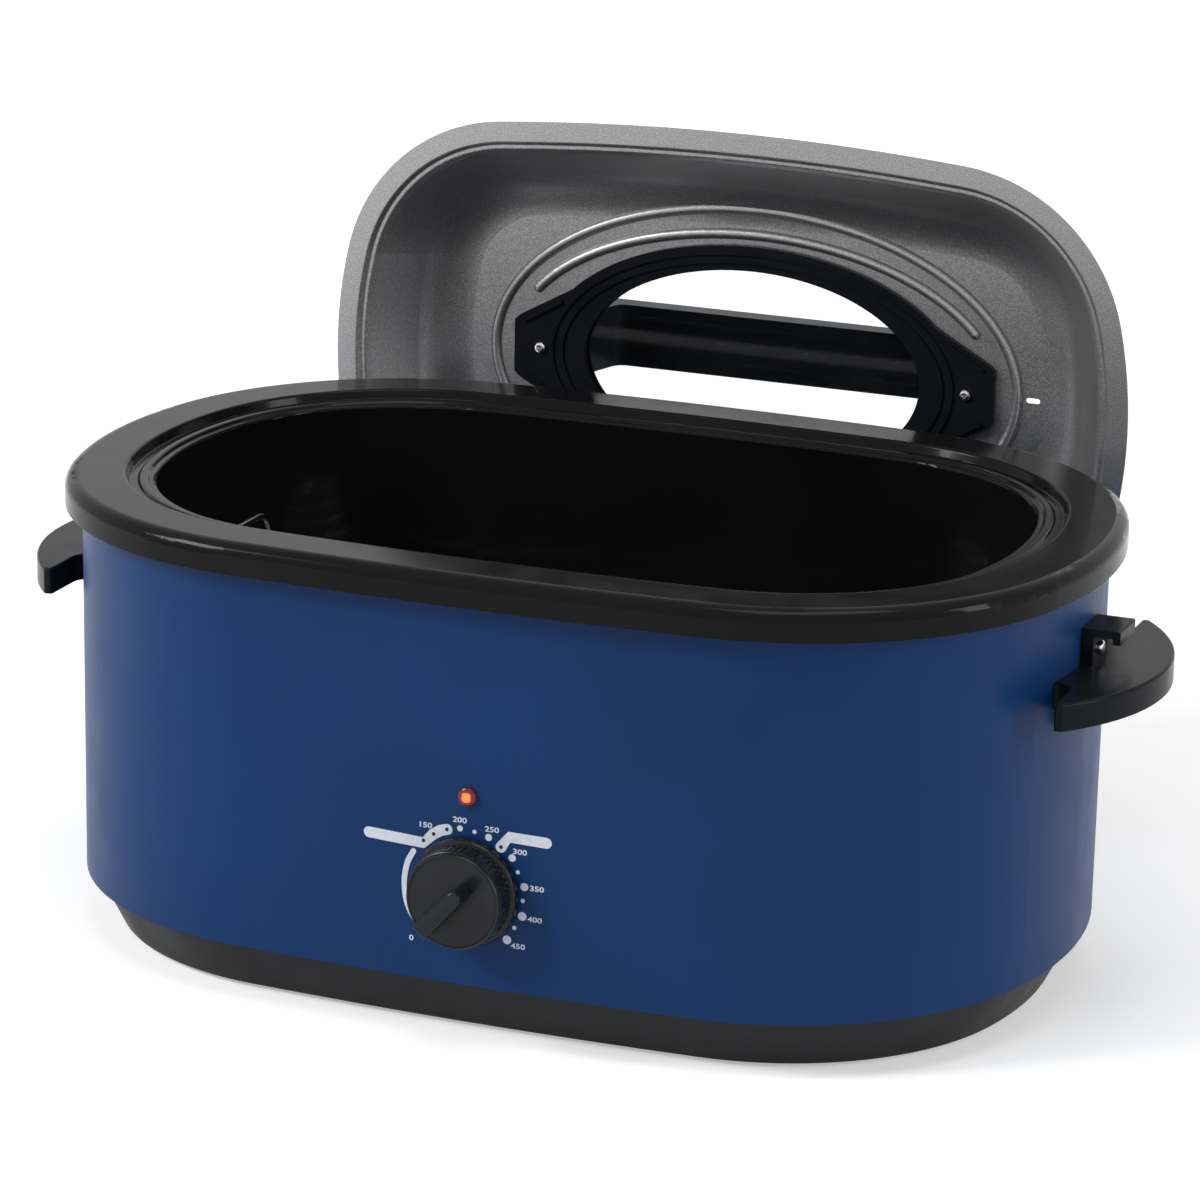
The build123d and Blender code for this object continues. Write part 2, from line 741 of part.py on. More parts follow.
with BuildPart() as indicator_lamp:
    with BuildSketch(front.offset(-lamp_front)) as lamp_case:
        with Locations((control_x, lamp_z)):
            Circle(lamp_body_radius)
    extrude(lamp_case.sketch, amount=-lamp_body_length)
    with BuildSketch(front.offset(-lamp_front - lamp_body_length)) as lamp_leads:
        for side in (-1, 1):
            with Locations((control_x + side * lamp_lead_spacing / 2, lamp_z)):
                Circle(lamp_lead_radius)
    extrude(lamp_leads.sketch, amount=-lamp_lead_length)
indicator_lamp.part.label = "indicator_lamp"

# ---- side handles: crescent plate on a narrow neck, escutcheon and a hook above it ----
outer_x = end_x + handle_reach
wing_x = end_x + handle_stand_off
tip_x = wing_x + handle_tip_width
root_x = end_x - handle_root
with BuildPart() as handle_right:
    with BuildSketch(Plane.XY.offset(handle_top - handle_thickness)) as crescent:
        with BuildLine():
            ThreePointArc((tip_x, -handle_half), (outer_x, 0), (tip_x, handle_half))
            Polyline(
                (tip_x, handle_half),
                (wing_x, handle_half),
                (wing_x, handle_neck_half),
                (root_x, handle_neck_half),
                (root_x, -handle_neck_half),
                (wing_x, -handle_neck_half),
                (wing_x, -handle_half),
                (tip_x, -handle_half),
            )
        make_face()
        tips = crescent.vertices().filter_by(lambda corner: abs(corner.Y) > handle_half - 1)
        fillet(tips, handle_tip_round)
        roots = crescent.vertices().filter_by(
            lambda corner: abs(corner.X - wing_x) < 0.1
            and abs(abs(corner.Y) - handle_neck_half) < 0.1
        )
        fillet(roots, handle_root_round)
    extrude(crescent.sketch, amount=handle_thickness)
    top_edges = handle_right.faces().sort_by(Axis.Z)[-1].edges()
    fillet(top_edges.filter_by(lambda edge: edge.center().X > wing_x - 5), handle_edge_round)
    with BuildSketch(Plane.YZ.offset(root_x)) as escutcheon:
        with Locations((0, (escutcheon_low + escutcheon_high) / 2)):
            RectangleRounded(
                2 * escutcheon_half, escutcheon_high - escutcheon_low, escutcheon_corner
            )
        with BuildLine():
            Polyline(
                (-hook_half - hook_flare, escutcheon_high),
                (-hook_half, escutcheon_high + hook_flare_height),
                (-hook_half, hook_top),
                (hook_half, hook_top),
                (hook_half, escutcheon_high + hook_flare_height),
                (hook_half + hook_flare, escutcheon_high),
                close=True,
            )
        make_face()
    extrude(escutcheon.sketch, amount=handle_root + escutcheon_thickness)
    with BuildSketch(Plane.XZ) as hook:
        with BuildLine():
            Polyline(
                (end_x, hook_top),
                (end_x + hook_reach, hook_top),
                (end_x + hook_reach, hook_top - hook_thickness - hook_lip),
                (end_x + hook_reach - hook_thickness, hook_top - hook_thickness - hook_lip),
                (end_x + hook_reach - hook_thickness, hook_top - hook_thickness),
                (end_x, hook_top - hook_thickness),
                close=True,
            )
        make_face()
        fillet(hook.vertices().sort_by_distance((end_x + hook_reach, hook_top))[0], hook_round)
    extrude(hook.sketch, amount=hook_half, both=True)
    oval_block(body_plan, -seat_gap, 0, rim_top, mode=Mode.SUBTRACT)
    bored(right_end, handle_screws_at, handle_screw_radius + fit_gap, 2 * escutcheon_thickness)
handle_right.part.label = "handle_right"

with BuildPart() as handle_left:
    mirror(handle_right.part, about=Plane.YZ)
handle_left.part.label = "handle_left"

shank_length = escutcheon_thickness + shell_sheet + seat_gap + handle_nut_height + handle_screw_end
with BuildPart() as handle_screws:
    for end in (right_end, left_end):
        with BuildSketch(end.offset(escutcheon_thickness)) as head:
            with Locations(*handle_screws_at):
                Circle(handle_screw_head_radius)
        extrude(head.sketch, amount=handle_screw_head)
        with BuildSketch(end.offset(escutcheon_thickness)) as shank:
            with Locations(*handle_screws_at):
                Circle(handle_screw_radius)
        extrude(shank.sketch, amount=-shank_length)
handle_screws.part.label = "handle_screws"

with BuildPart() as handle_nuts:
    for end in (right_end, left_end):
        with BuildSketch(end.offset(-shell_sheet - seat_gap)) as nuts:
            with Locations(*handle_screws_at):
                RegularPolygon(handle_nut_across / 2, 6, major_radius=False)
                Circle(handle_screw_radius + fit_gap, mode=Mode.SUBTRACT)
        extrude(nuts.sketch, amount=-handle_nut_height)
handle_nuts.part.label = "handle_nuts"

# ---- bush in the rear wall for the mains lead, and the terminal block behind it ----
inlet_y = side_reach(body_plan, inlet_x - inlet_flange_radius, 0)
inlet_face = rear.offset(inlet_y - rear_y)
with BuildPart() as cord_bush:
    with BuildSketch(inlet_face.offset(seat_gap)) as bush_flange:
        with Locations((-inlet_x, inlet_z)):
            Circle(inlet_flange_radius)
    extrude(bush_flange.sketch, amount=inlet_flange)
    with BuildSketch(inlet_face.offset(seat_gap)) as bush_body:
        with Locations((-inlet_x, inlet_z)):
            Circle(inlet_body_radius)
    extrude(bush_body.sketch, amount=-inlet_length)
    bored(inlet_face, [(-inlet_x, inlet_z)], inlet_bore_radius, inlet_length + inlet_flange)
cord_bush.part.label = "cord_bush"

with BuildPart() as terminal_block:
    with BuildSketch(Plane.XY.offset(plate_top)) as block:
        with Locations((terminal_x, shell_width / 2 - terminal_rear_gap)):
            RectangleRounded(terminal_length, terminal_width, terminal_corner)
    extrude(block.sketch, amount=terminal_height)
    with BuildSketch(Plane.XY.offset(plate_top + terminal_height)) as wells:
        with Locations((terminal_x, shell_width / 2 - terminal_rear_gap)):
            with GridLocations(terminal_length / 3, 0, 3, 1):
                Circle(terminal_hole_radius)
    extrude(wells.sketch, amount=-terminal_hole_depth, mode=Mode.SUBTRACT)
terminal_block.part.label = "terminal_block"


def lid_bead(path, radius, mode):
    """Round bar swept along a bead of the lid, to raise it inside or to groove it outside."""
    with BuildSketch(Plane(origin=path @ 0, z_dir=path % 0)) as bar:
        Circle(radius)
    sweep(bar.sketch, path=path, mode=mode)


# ---- lid: flange, double step, leaning wall, panel with raised beads, window hole ----
panel_plane = lid_plane.offset(lid_depth - lid_sheet / 2)
bead_plane = panel_plane.offset(bead_centre_lift)
inner_bead_start = degrees(acos(inner_bead_end_x / inner_bead_x))
inner_bead_arc = 180 - 2 * inner_bead_start
gasket_x = glass_x + gasket_width
gasket_y = glass_y + gasket_width
with BuildPart() as lid_shell:
    sheet_ring(
        lid_path,
        lid_plane.z_dir,
        [
            (0, 0),
            (lid_flange, 0),
            (lid_flange + lid_step_run, lid_step),
            (lid_flange + lid_step_ledge, lid_step),
            (lid_wall_foot, 2 * lid_step),
            (lid_wall_head, lid_depth),
            (lid_panel_stub, lid_depth),
        ],
        [1.0, 1.0, 0.8, 2.0, lid_shoulder],
        lid_sheet,
    )
    panel_low = lid_depth - lid_sheet / 2
    oval_block(lid_plan, lid_panel_stub, panel_low, panel_low + lid_sheet, lid_plane)
    with BuildLine(bead_plane) as outer_bead:
        EllipticalCenterArc((0, 0), outer_bead_x, outer_bead_y, arc_size=360)
    with BuildLine(bead_plane) as upper_bead:
        EllipticalCenterArc(
            (0, 0), inner_bead_x, inner_bead_y, inner_bead_start, arc_size=inner_bead_arc
        )
    with BuildLine(bead_plane) as lower_bead:
        EllipticalCenterArc(
            (0, 0), inner_bead_x, inner_bead_y, 180 + inner_bead_start, arc_size=inner_bead_arc
        )
    for bead in (outer_bead, upper_bead, lower_bead):
        lid_bead(bead.line, bead_radius, Mode.ADD)
    bead_end_y = inner_bead_y * sin(radians(inner_bead_start))
    bead_ends = [(sx * inner_bead_end_x, sy * bead_end_y, 0) for sx in (-1, 1) for sy in (-1, 1)]
    with Locations(bead_plane):
        with Locations(*bead_ends):
            Sphere(bead_radius)
    for bead in (outer_bead, upper_bead, lower_bead):
        lid_bead(bead.line, bead_radius - lid_sheet, Mode.SUBTRACT)
    with BuildSketch(panel_plane) as openings:
        Ellipse(gasket_x + fit_gap, gasket_y + fit_gap)
        with Locations(*lid_screws_at):
            Circle(lid_screw_radius + fit_gap)
        with Locations((vent_slot_x, 0)):
            SlotOverall(vent_slot_length, vent_slot_width)
    extrude(openings.sketch, amount=2 * lid_sheet, both=True, mode=Mode.SUBTRACT)
lid_shell.part.label = "lid_shell"

# ---- window glass in its gasket ----
with BuildPart() as window_glass:
    with BuildSketch(panel_plane) as pane:
        Ellipse(glass_x, glass_y)
    extrude(pane.sketch, amount=glass_thickness)
window_glass.part.label = "window_glass"

with BuildPart() as window_gasket:
    with BuildSketch(panel_plane) as seal:
        Ellipse(gasket_x, gasket_y)
        Ellipse(glass_x + fit_gap, glass_y + fit_gap, mode=Mode.SUBTRACT)
    extrude(seal.sketch, amount=glass_thickness)
window_gasket.part.label = "window_gasket"


def ear_outline(margin):
    """Corner points of one ear of the window surround, grown by a margin."""
    tip_x, tip_y = ear_tip_x + margin, ear_tip_y + margin
    return [
        (ear_root_x, ear_root_y + margin),
        (tip_x - ear_chamfer, tip_y),
        (tip_x, tip_y - ear_chamfer),
        (tip_x, ear_chamfer - tip_y),
        (tip_x - ear_chamfer, -tip_y),
        (ear_root_x, -ear_root_y - margin),
    ]


def surround(margin):
    """Oval surround of the window with an ear at each end, in the open sketch."""
    with BuildSketch(mode=Mode.PRIVATE) as outline:
        Ellipse(bezel_x + margin, bezel_y + margin)
        for side in (-1, 1):
            with BuildLine():
                Polyline(*[(side * x, y) for x, y in ear_outline(margin)], close=True)
            make_face()
        Ellipse(window_x, window_y, mode=Mode.SUBTRACT)
    return outline.face()


# ---- bezel inside the lid, with ring ribs and ribs along its ears ----
with BuildPart() as window_bezel:
    with BuildSketch(panel_plane) as plate:
        add(surround(0))
        with Locations(*lid_screws_at):
            Circle(lid_screw_radius + fit_gap, mode=Mode.SUBTRACT)
    extrude(plate.sketch, amount=-bezel_thickness)
    with BuildSketch(panel_plane.offset(-bezel_thickness)) as ribs:
        for along, across in bezel_rib_offsets:
            rib_x, rib_y = bezel_x - along, bezel_y - across
            Ellipse(rib_x, rib_y)
            Ellipse(rib_x - bezel_rib, rib_y - bezel_rib, mode=Mode.SUBTRACT)
    extrude(ribs.sketch, amount=-bezel_rib)
    start_x, start_y = ear_rib_start
    end_rib_x, end_rib_y = ear_tip_x - ear_chamfer - ear_rib_inset, ear_tip_y - ear_rib_inset
    with BuildSketch(panel_plane.offset(-bezel_thickness)) as ear_ribs:
        for side in (-1, 1):
            for edge in (-1, 1):
                with BuildLine() as rib_line:
                    Polyline((side * start_x, edge * start_y), (side * end_rib_x, edge * end_rib_y))
                trace(rib_line.line, line_width=ear_rib_width)
    extrude(ear_ribs.sketch, amount=-ear_rib_height)
window_bezel.part.label = "window_bezel"

# ---- frame outside the lid and the bridge grip moulded with it ----
frame_top = lid_sheet + frame_height
frame_middle = lid_sheet + frame_height / 2
grip_under = frame_top + grip_gap
grip_top = grip_under + grip_thickness
with BuildPart() as lid_handle:
    with BuildSketch(panel_plane.offset(lid_sheet)) as frame:
        add(surround(frame_margin))
    extrude(frame.sketch, amount=frame_height)
    with BuildSketch(Plane(origin=panel_plane.origin, x_dir=(1, 0, 0), z_dir=(0, 0, 1))) as arch:
        with BuildLine():
            Polyline(
                (-grip_foot_outer, frame_middle),
                (-grip_foot_outer, frame_top),
                (grip_lean - grip_foot_outer, grip_top),
                (grip_foot_outer - grip_lean, grip_top),
                (grip_foot_outer, frame_top),
                (grip_foot_outer, frame_middle),
                (grip_foot_inner, frame_middle),
                (grip_foot_inner, frame_top),
                (grip_foot_inner - grip_lean, grip_under),
                (grip_lean - grip_foot_inner, grip_under),
                (-grip_foot_inner, frame_top),
                (-grip_foot_inner, frame_middle),
                close=True,
            )
        make_face()
        fillet(arch.vertices().filter_by(lambda corner: corner.Y > grip_top - 1), grip_top_round)
        under = arch.vertices().filter_by(lambda corner: abs(corner.Y - grip_under) < 0.1)
        fillet(under, grip_under_round)
    extrude(arch.sketch, amount=grip_width / 2, both=True)
    with BuildSketch(panel_plane.offset(grip_under)) as grip_ribs:
        with GridLocations(0, grip_rib_pitch, 1, 3):
            Rectangle(2 * (grip_foot_inner - 2 * grip_lean), grip_rib_width)
    extrude(grip_ribs.sketch, amount=-grip_rib_height)
    with BuildSketch(panel_plane) as glass_room:
        Ellipse(gasket_x + fit_gap, gasket_y + fit_gap)
    extrude(glass_room.sketch, amount=glass_thickness, mode=Mode.SUBTRACT)
    bored(panel_plane, lid_screws_at, lid_screw_radius + fit_gap, lid_screw_length)
lid_handle.part.label = "lid_handle"

with BuildPart() as lid_screws:
    with BuildSketch(panel_plane.offset(-bezel_thickness)) as screw_heads:
        with Locations(*lid_screws_at):
            Circle(lid_screw_head_radius)
    extrude(screw_heads.sketch, amount=-lid_screw_head)
    fillet(lid_screws.faces().group_by(Axis.Y)[0].edges(), lid_screw_round)
    with BuildSketch(panel_plane.offset(-bezel_thickness)) as screw_shanks:
        with Locations(*lid_screws_at):
            Circle(lid_screw_radius)
    extrude(screw_shanks.sketch, amount=lid_screw_length)
lid_screws.part.label = "lid_screws"

# ---- lid rest: two J-shaped straps on the rear wall, whose troughs hold the lid's edge ----
trough_top = lid_centre_z - side_reach(lid_plan, rest_x - rest_width / 2, 0) - seat_gap
strap_y = side_reach(body_plan, rest_x, 0)
strap_out = strap_y + seat_gap + rest_strap
lip_y = lid_y + rest_trough
with BuildPart() as lid_rest:
    with BuildSketch(Plane.YZ) as strap_side:
        with BuildLine():
            Polyline(
                (strap_y - rest_root, rest_high),
                (strap_out, rest_high),
                (strap_out, trough_top),
                (lip_y - rest_strap, trough_top),
                (lip_y - rest_strap, trough_top + rest_lip),
                (lip_y, trough_top + rest_lip),
                (lip_y, trough_top - rest_strap),
                (strap_y - rest_root, trough_top - rest_strap),
                close=True,
            )
        make_face()
        bend_corner = strap_side.vertices().sort_by_distance((lip_y, trough_top - rest_strap))[0]
        fillet(bend_corner, rest_bend)
    for side in (-1, 1):
        strap = strap_side.sketch.moved(Location((side * rest_x, 0, 0)))
        extrude(strap, amount=rest_width / 2, both=True)
    oval_block(body_plan, -seat_gap, 0, rim_top, mode=Mode.SUBTRACT)
    bored(rear, rest_screws_at, rest_screw_radius + fit_gap, 2 * rest_screw_length)
lid_rest.part.label = "lid_rest"

with BuildPart() as rest_screws:
    with BuildSketch(rear.offset(strap_out - rear_y)) as rest_heads:
        with Locations(*rest_screws_at):
            Circle(rest_screw_head_radius)
    extrude(rest_heads.sketch, amount=rest_screw_head)
    with BuildSketch(rear.offset(strap_out - rear_y)) as rest_shanks:
        with Locations(*rest_screws_at):
            Circle(rest_screw_radius)
    extrude(rest_shanks.sketch, amount=-rest_screw_length)
rest_screws.part.label = "rest_screws"

os.makedirs("parts", exist_ok=True)
for piece in (
    outer_shell, base_skirt, bottom_plate, rubber_feet, well_posts, base_screws, heating_well,
    heating_band, insulation_blanket, roasting_pan, wire_rack, thermostat_bracket,
    thermostat_body, bush_nut, thermostat_shaft, knob, indicator_lens, indicator_clip,
    indicator_lamp, handle_right, handle_left, handle_screws, handle_nuts, cord_bush,
    terminal_block, lid_shell, window_glass, window_gasket, window_bezel, lid_handle,
    lid_screws, lid_rest, rest_screws,
):
    export_step(piece.part, "parts/" + piece.part.label + ".step")
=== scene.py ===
import math

import bmesh
import bpy
from mathutils import Matrix, Vector, noise


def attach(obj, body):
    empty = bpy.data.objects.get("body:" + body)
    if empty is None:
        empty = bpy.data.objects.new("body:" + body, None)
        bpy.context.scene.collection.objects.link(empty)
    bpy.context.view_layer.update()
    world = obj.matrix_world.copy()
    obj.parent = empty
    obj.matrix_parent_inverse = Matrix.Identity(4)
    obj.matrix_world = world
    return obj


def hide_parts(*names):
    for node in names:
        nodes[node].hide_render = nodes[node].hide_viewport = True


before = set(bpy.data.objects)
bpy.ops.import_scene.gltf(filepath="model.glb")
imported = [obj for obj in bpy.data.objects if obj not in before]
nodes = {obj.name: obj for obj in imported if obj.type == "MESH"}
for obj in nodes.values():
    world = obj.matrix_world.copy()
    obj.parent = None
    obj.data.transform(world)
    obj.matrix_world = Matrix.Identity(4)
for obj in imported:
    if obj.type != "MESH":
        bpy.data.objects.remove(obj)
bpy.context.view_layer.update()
scene = bpy.context.scene
scene.view_settings.view_transform = "Standard"
print("frame loaded,", len(nodes), "nodes")


# camera, floor and light

view = {
    "azimuth": 21.36,
    "elevation": 17.67,
    "distance": 2.615,
    "target": (0.0, 0.0, 0.1296),
    "lens": 148.70,
    "shiftX": 0.00883,
    "shiftY": 0.0800,
    "roll": 1.14,
    "sensor": 36,
    "clipEnd": 60,
}


def makeCamera():
    turn, rise = math.radians(view["azimuth"]), math.radians(view["elevation"])
    back = Vector((math.sin(turn) * math.cos(rise),
                   -math.cos(turn) * math.cos(rise),
                   math.sin(rise)))
    data = bpy.data.cameras.new("camera")
    data.lens = view["lens"]
    data.sensor_width = view["sensor"]
    data.shift_x, data.shift_y = view["shiftX"], view["shiftY"]
    data.clip_end = view["clipEnd"]
    camera = bpy.data.objects.new("camera", data)
    scene.collection.objects.link(camera)
    camera.location = Vector(view["target"]) + back * view["distance"]
    level = (-back).to_track_quat("-Z", "Y").to_matrix()
    roll = Matrix.Rotation(math.radians(view["roll"]), 3, "Z")
    camera.rotation_euler = (level @ roll).to_euler()
    scene.camera = camera


makeCamera()


# a shader or geometry node with its settings; links are pairs of an input and a socket or value
def addNode(tree, kind, links=(), **settings):
    node = tree.nodes.new(kind)
    for key, value in settings.items():
        setattr(node, key, value)
    for key, value in links:
        if isinstance(value, bpy.types.NodeSocket):
            tree.links.new(value, node.inputs[key])
        else:
            node.inputs[key].default_value = value
    return node


lamps = {
    "worldLight": 0.29,
    "softboxes": (
        # name, place, aim, width, height, watts
        ("keyBox", (-2.3, -1.7, 2.1), (0, 0, 0.15), 1.2, 1.1, 84),
        ("topBox", (0.4, -0.3, 2.7), (0, 0, 0.2), 1.6, 1.0, 18),
        ("rightBox", (2.7, 0.1, 1.1), (0.2, 0, 0.15), 0.7, 1.5, 26),
    ),
}


# 1 for rays that should see the plain white background, 0 for the light on the object
def backgroundRays(tree):
    rays = addNode(tree, "ShaderNodeLightPath")
    direct = addNode(tree, "ShaderNodeMath", operation="MAXIMUM",
                     links=((0, rays.outputs["Is Camera Ray"]), (1, rays.outputs["Is Transmission Ray"])))
    both = addNode(tree, "ShaderNodeMath", operation="MAXIMUM",
                   links=((0, direct.outputs[0]), (1, rays.outputs["Is Glossy Ray"])))
    return both.outputs[0]


def makeWorld():
    world = bpy.data.worlds.new("studio")
    scene.world = world
    world.use_nodes = True
    tree = world.node_tree
    tree.nodes.clear()
    plain, white = (addNode(tree, "ShaderNodeBackground", (("Color", (1, 1, 1, 1)), ("Strength", strength)))
                    for strength in (lamps["worldLight"], 1.0))
    mix = addNode(tree, "ShaderNodeMixShader",
                  ((0, backgroundRays(tree)), (1, plain.outputs[0]), (2, white.outputs[0])))
    addNode(tree, "ShaderNodeOutputWorld", (("Surface", mix.outputs[0]),))


def makeSoftboxes():
    for name, place, aim, width, height, watts in lamps["softboxes"]:
        data = bpy.data.lights.new(name, "AREA")
        data.shape = "RECTANGLE"
        data.size, data.size_y = width, height
        data.energy = watts
        lamp = bpy.data.objects.new(name, data)
        scene.collection.objects.link(lamp)
        lamp.location = place
        lamp.rotation_euler = (Vector(aim) - Vector(place)).to_track_quat("-Z", "Y").to_euler()


# the lift is the glow that background rays see; it grows from near to far, so that the floor ends in white
# and still keeps the shadow round the feet
floorLook = {
    "half": 14.0,
    "colour": (0.84, 0.84, 0.85, 1),
    "near": 0.4,
    "far": 2.4,
    "nearLift": 0.40,
    "farLift": 0.76,
}


def makeFloor():
    mesh = bpy.data.meshes.new("floor")
    half = floorLook["half"]
    corners = [(-half, -half, 0), (half, -half, 0), (half, half, 0), (-half, half, 0)]
    mesh.from_pydata(corners, [], [(0, 1, 2, 3)])
    floor = bpy.data.objects.new("floor", mesh)
    scene.collection.objects.link(floor)
    paint = bpy.data.materials.new("floorPaint")
    paint.use_nodes = True
    tree = paint.node_tree
    tree.nodes.clear()
    coords = addNode(tree, "ShaderNodeTexCoord").outputs["Object"]
    reach = addNode(tree, "ShaderNodeVectorMath", ((0, coords),), operation="LENGTH").outputs["Value"]
    grown = addNode(tree, "ShaderNodeMapRange",
                    (("Value", reach), ("From Min", floorLook["near"]), ("From Max", floorLook["far"]),
                     ("To Min", floorLook["nearLift"]), ("To Max", floorLook["farLift"])),
                    interpolation_type="SMOOTHSTEP")
    lift = addNode(tree, "ShaderNodeMath", ((0, backgroundRays(tree)), (1, grown.outputs[0])),
                   operation="MULTIPLY")
    matt = addNode(tree, "ShaderNodeBsdfDiffuse", (("Color", floorLook["colour"]),))
    glow = addNode(tree, "ShaderNodeEmission", (("Strength", lift.outputs[0]),))
    both = addNode(tree, "ShaderNodeAddShader", ((0, matt.outputs[0]), (1, glow.outputs[0])))
    addNode(tree, "ShaderNodeOutputMaterial", (("Surface", both.outputs[0]),))
    mesh.materials.append(paint)


makeWorld()
makeSoftboxes()
makeFloor()
print("camera, floor and light made")


# materials

def newMaterial(name):
    material = bpy.data.materials.new(name)
    material.use_nodes = True
    return material, material.node_tree, material.node_tree.nodes["Principled BSDF"]


def noiseOn(tree, coords, scale, detail=2.0):
    return addNode(tree, "ShaderNodeTexNoise", (("Vector", coords), ("Scale", scale), ("Detail", detail)))


# a noise's middle range stretched from low to high
def spread(tree, value, low, high, fromLow=0.3, fromHigh=0.7):
    return addNode(tree, "ShaderNodeMapRange",
                   (("Value", value), ("From Min", fromLow), ("From Max", fromHigh),
                    ("To Min", low), ("To Max", high)))


def blendColours(tree, factor, first, second):
    mix = addNode(tree, "ShaderNodeMix", data_type="RGBA")
    tree.links.new(factor, mix.inputs[0])
    mix.inputs[6].default_value = first
    mix.inputs[7].default_value = second
    return mix.outputs[2]


def setBump(tree, shader, height, strength, distance):
    bump = addNode(tree, "ShaderNodeBump",
                   (("Height", height), ("Strength", strength), ("Distance", distance)))
    tree.links.new(bump.outputs[0], shader.inputs["Normal"])


# tones of the patches, scale of the patches, range of the roughness, metallic, specular level,
# scale and depth of the grain, clear coat
finishColumns = ("dark", "light", "patches", "roughLow", "roughHigh", "metallic", "specular",
                 "grain", "depth", "coat")
finishes = {
    "bluePaint": ((0.0030, 0.0300, 0.1160), (0.0042, 0.0370, 0.1380),
                  9, 0.36, 0.44, 0, 0.13, 1500, 0.00003, 0),
    "skirtPlastic": ((0.016, 0.0165, 0.018), (0.024, 0.0245, 0.026),
                     14, 0.42, 0.54, 0, 0.12, 2600, 0.00004, 0),
    "handlePlastic": ((0.0085, 0.0092, 0.0120), (0.0115, 0.0125, 0.0160),
                      22, 0.18, 0.28, 0, 0.05, 2000, 0.00001, 0),
    "knobPlastic": ((0.0080, 0.0088, 0.0105), (0.0120, 0.0130, 0.0155),
                    40, 0.20, 0.28, 0, 0.22, 3000, 0.00001, 0),
    "panEnamel": ((0.0035, 0.0035, 0.0038), (0.0060, 0.0060, 0.0065),
                  12, 0.12, 0.20, 0, 0.06, 700, 0.00003, 0.07),
    "blackCoat": ((0.008, 0.008, 0.009), (0.014, 0.014, 0.016),
                  30, 0.42, 0.55, 0, 0.30, 1800, 0.00004, 0),
    "footRubber": ((0.010, 0.010, 0.010), (0.020, 0.020, 0.020),
                   60, 0.70, 0.85, 0, 0.30, 2400, 0.00006, 0),
    "gasketRubber": ((0.012, 0.012, 0.012), (0.022, 0.022, 0.022),
                     60, 0.50, 0.62, 0, 0.30, 2400, 0.00004, 0),
    "phenolic": ((0.020, 0.010, 0.006), (0.034, 0.018, 0.010),
                 60, 0.38, 0.50, 0, 0.40, 2400, 0.00003, 0),
    "glazedCeramic": ((0.70, 0.67, 0.60), (0.82, 0.80, 0.75),
                      50, 0.16, 0.30, 0, 0.50, 1500, 0.00002, 0.4),
    "zincSteel": ((0.42, 0.43, 0.46), (0.56, 0.57, 0.58),
                  90, 0.34, 0.48, 1, 0.50, 1800, 0.00001, 0),
    "wellSteel": ((0.44, 0.44, 0.45), (0.58, 0.58, 0.58),
                  40, 0.36, 0.50, 1, 0.50, 1400, 0.00002, 0),
    "bandSteel": ((0.30, 0.25, 0.20), (0.46, 0.44, 0.42),
                  26, 0.36, 0.52, 1, 0.50, 1200, 0.00002, 0),
    "brassNut": ((0.52, 0.36, 0.13), (0.70, 0.52, 0.22),
                 120, 0.24, 0.36, 1, 0.50, 2400, 0.00001, 0),
    "brightScrew": ((0.58, 0.58, 0.60), (0.74, 0.74, 0.75),
                    160, 0.16, 0.28, 1, 0.50, 3000, 0.00001, 0),
    "rackChrome": ((0.62, 0.62, 0.64), (0.76, 0.76, 0.77),
                   60, 0.08, 0.16, 1, 0.50, 2000, 0.00001, 0),
    "fibreFelt": ((0.66, 0.64, 0.57), (0.86, 0.85, 0.80),
                  240, 0.85, 0.95, 0, 0.20, 1900, 0.00050, 0),
    "whitePrint": ((0.62, 0.67, 0.76), (0.72, 0.76, 0.84),
                   400, 0.40, 0.50, 0, 0.30, 3000, 0.00001, 0),
    "darkPrint": ((0.004, 0.010, 0.030), (0.006, 0.016, 0.045),
                  400, 0.40, 0.50, 0, 0.30, 3000, 0.00001, 0),
}
grainLook = {"bump": 0.5, "roughScale": 3.1, "coatRoughness": 0.06}


def makeFinish(name):
    finish = dict(zip(finishColumns, finishes[name]))
    material, tree, shader = newMaterial(name)
    coords = addNode(tree, "ShaderNodeTexCoord").outputs["Object"]
    tone = noiseOn(tree, coords, finish["patches"], 4)
    grain = noiseOn(tree, coords, finish["grain"], 1)
    tree.links.new(blendColours(tree, spread(tree, tone.outputs[0], 0, 1).outputs[0],
                                (*finish["dark"], 1), (*finish["light"], 1)), shader.inputs["Base Color"])
    wear = noiseOn(tree, coords, finish["patches"] * grainLook["roughScale"], 3)
    tree.links.new(spread(tree, wear.outputs[0], finish["roughLow"], finish["roughHigh"]).outputs[0],
                   shader.inputs["Roughness"])
    shader.inputs["Metallic"].default_value = finish["metallic"]
    shader.inputs["Specular IOR Level"].default_value = finish["specular"]
    shader.inputs["Coat Weight"].default_value = finish["coat"]
    shader.inputs["Coat Roughness"].default_value = grainLook["coatRoughness"]
    setBump(tree, shader, grain.outputs[0], grainLook["bump"], finish["depth"])
    return material


looks = {name: makeFinish(name) for name in finishes}

lidCoat = {
    "tone": (0.25, 0.25, 0.255, 1),
    "speck": (0.42, 0.42, 0.425, 1),
    "speckScale": 1500,
    "speckLow": 0.42,
    "speckHigh": 0.66,
    "metallic": 0.86,
    "roughLow": 0.34,
    "roughHigh": 0.44,
    "bump": 0.35,
    "bumpDepth": 0.00004,
}


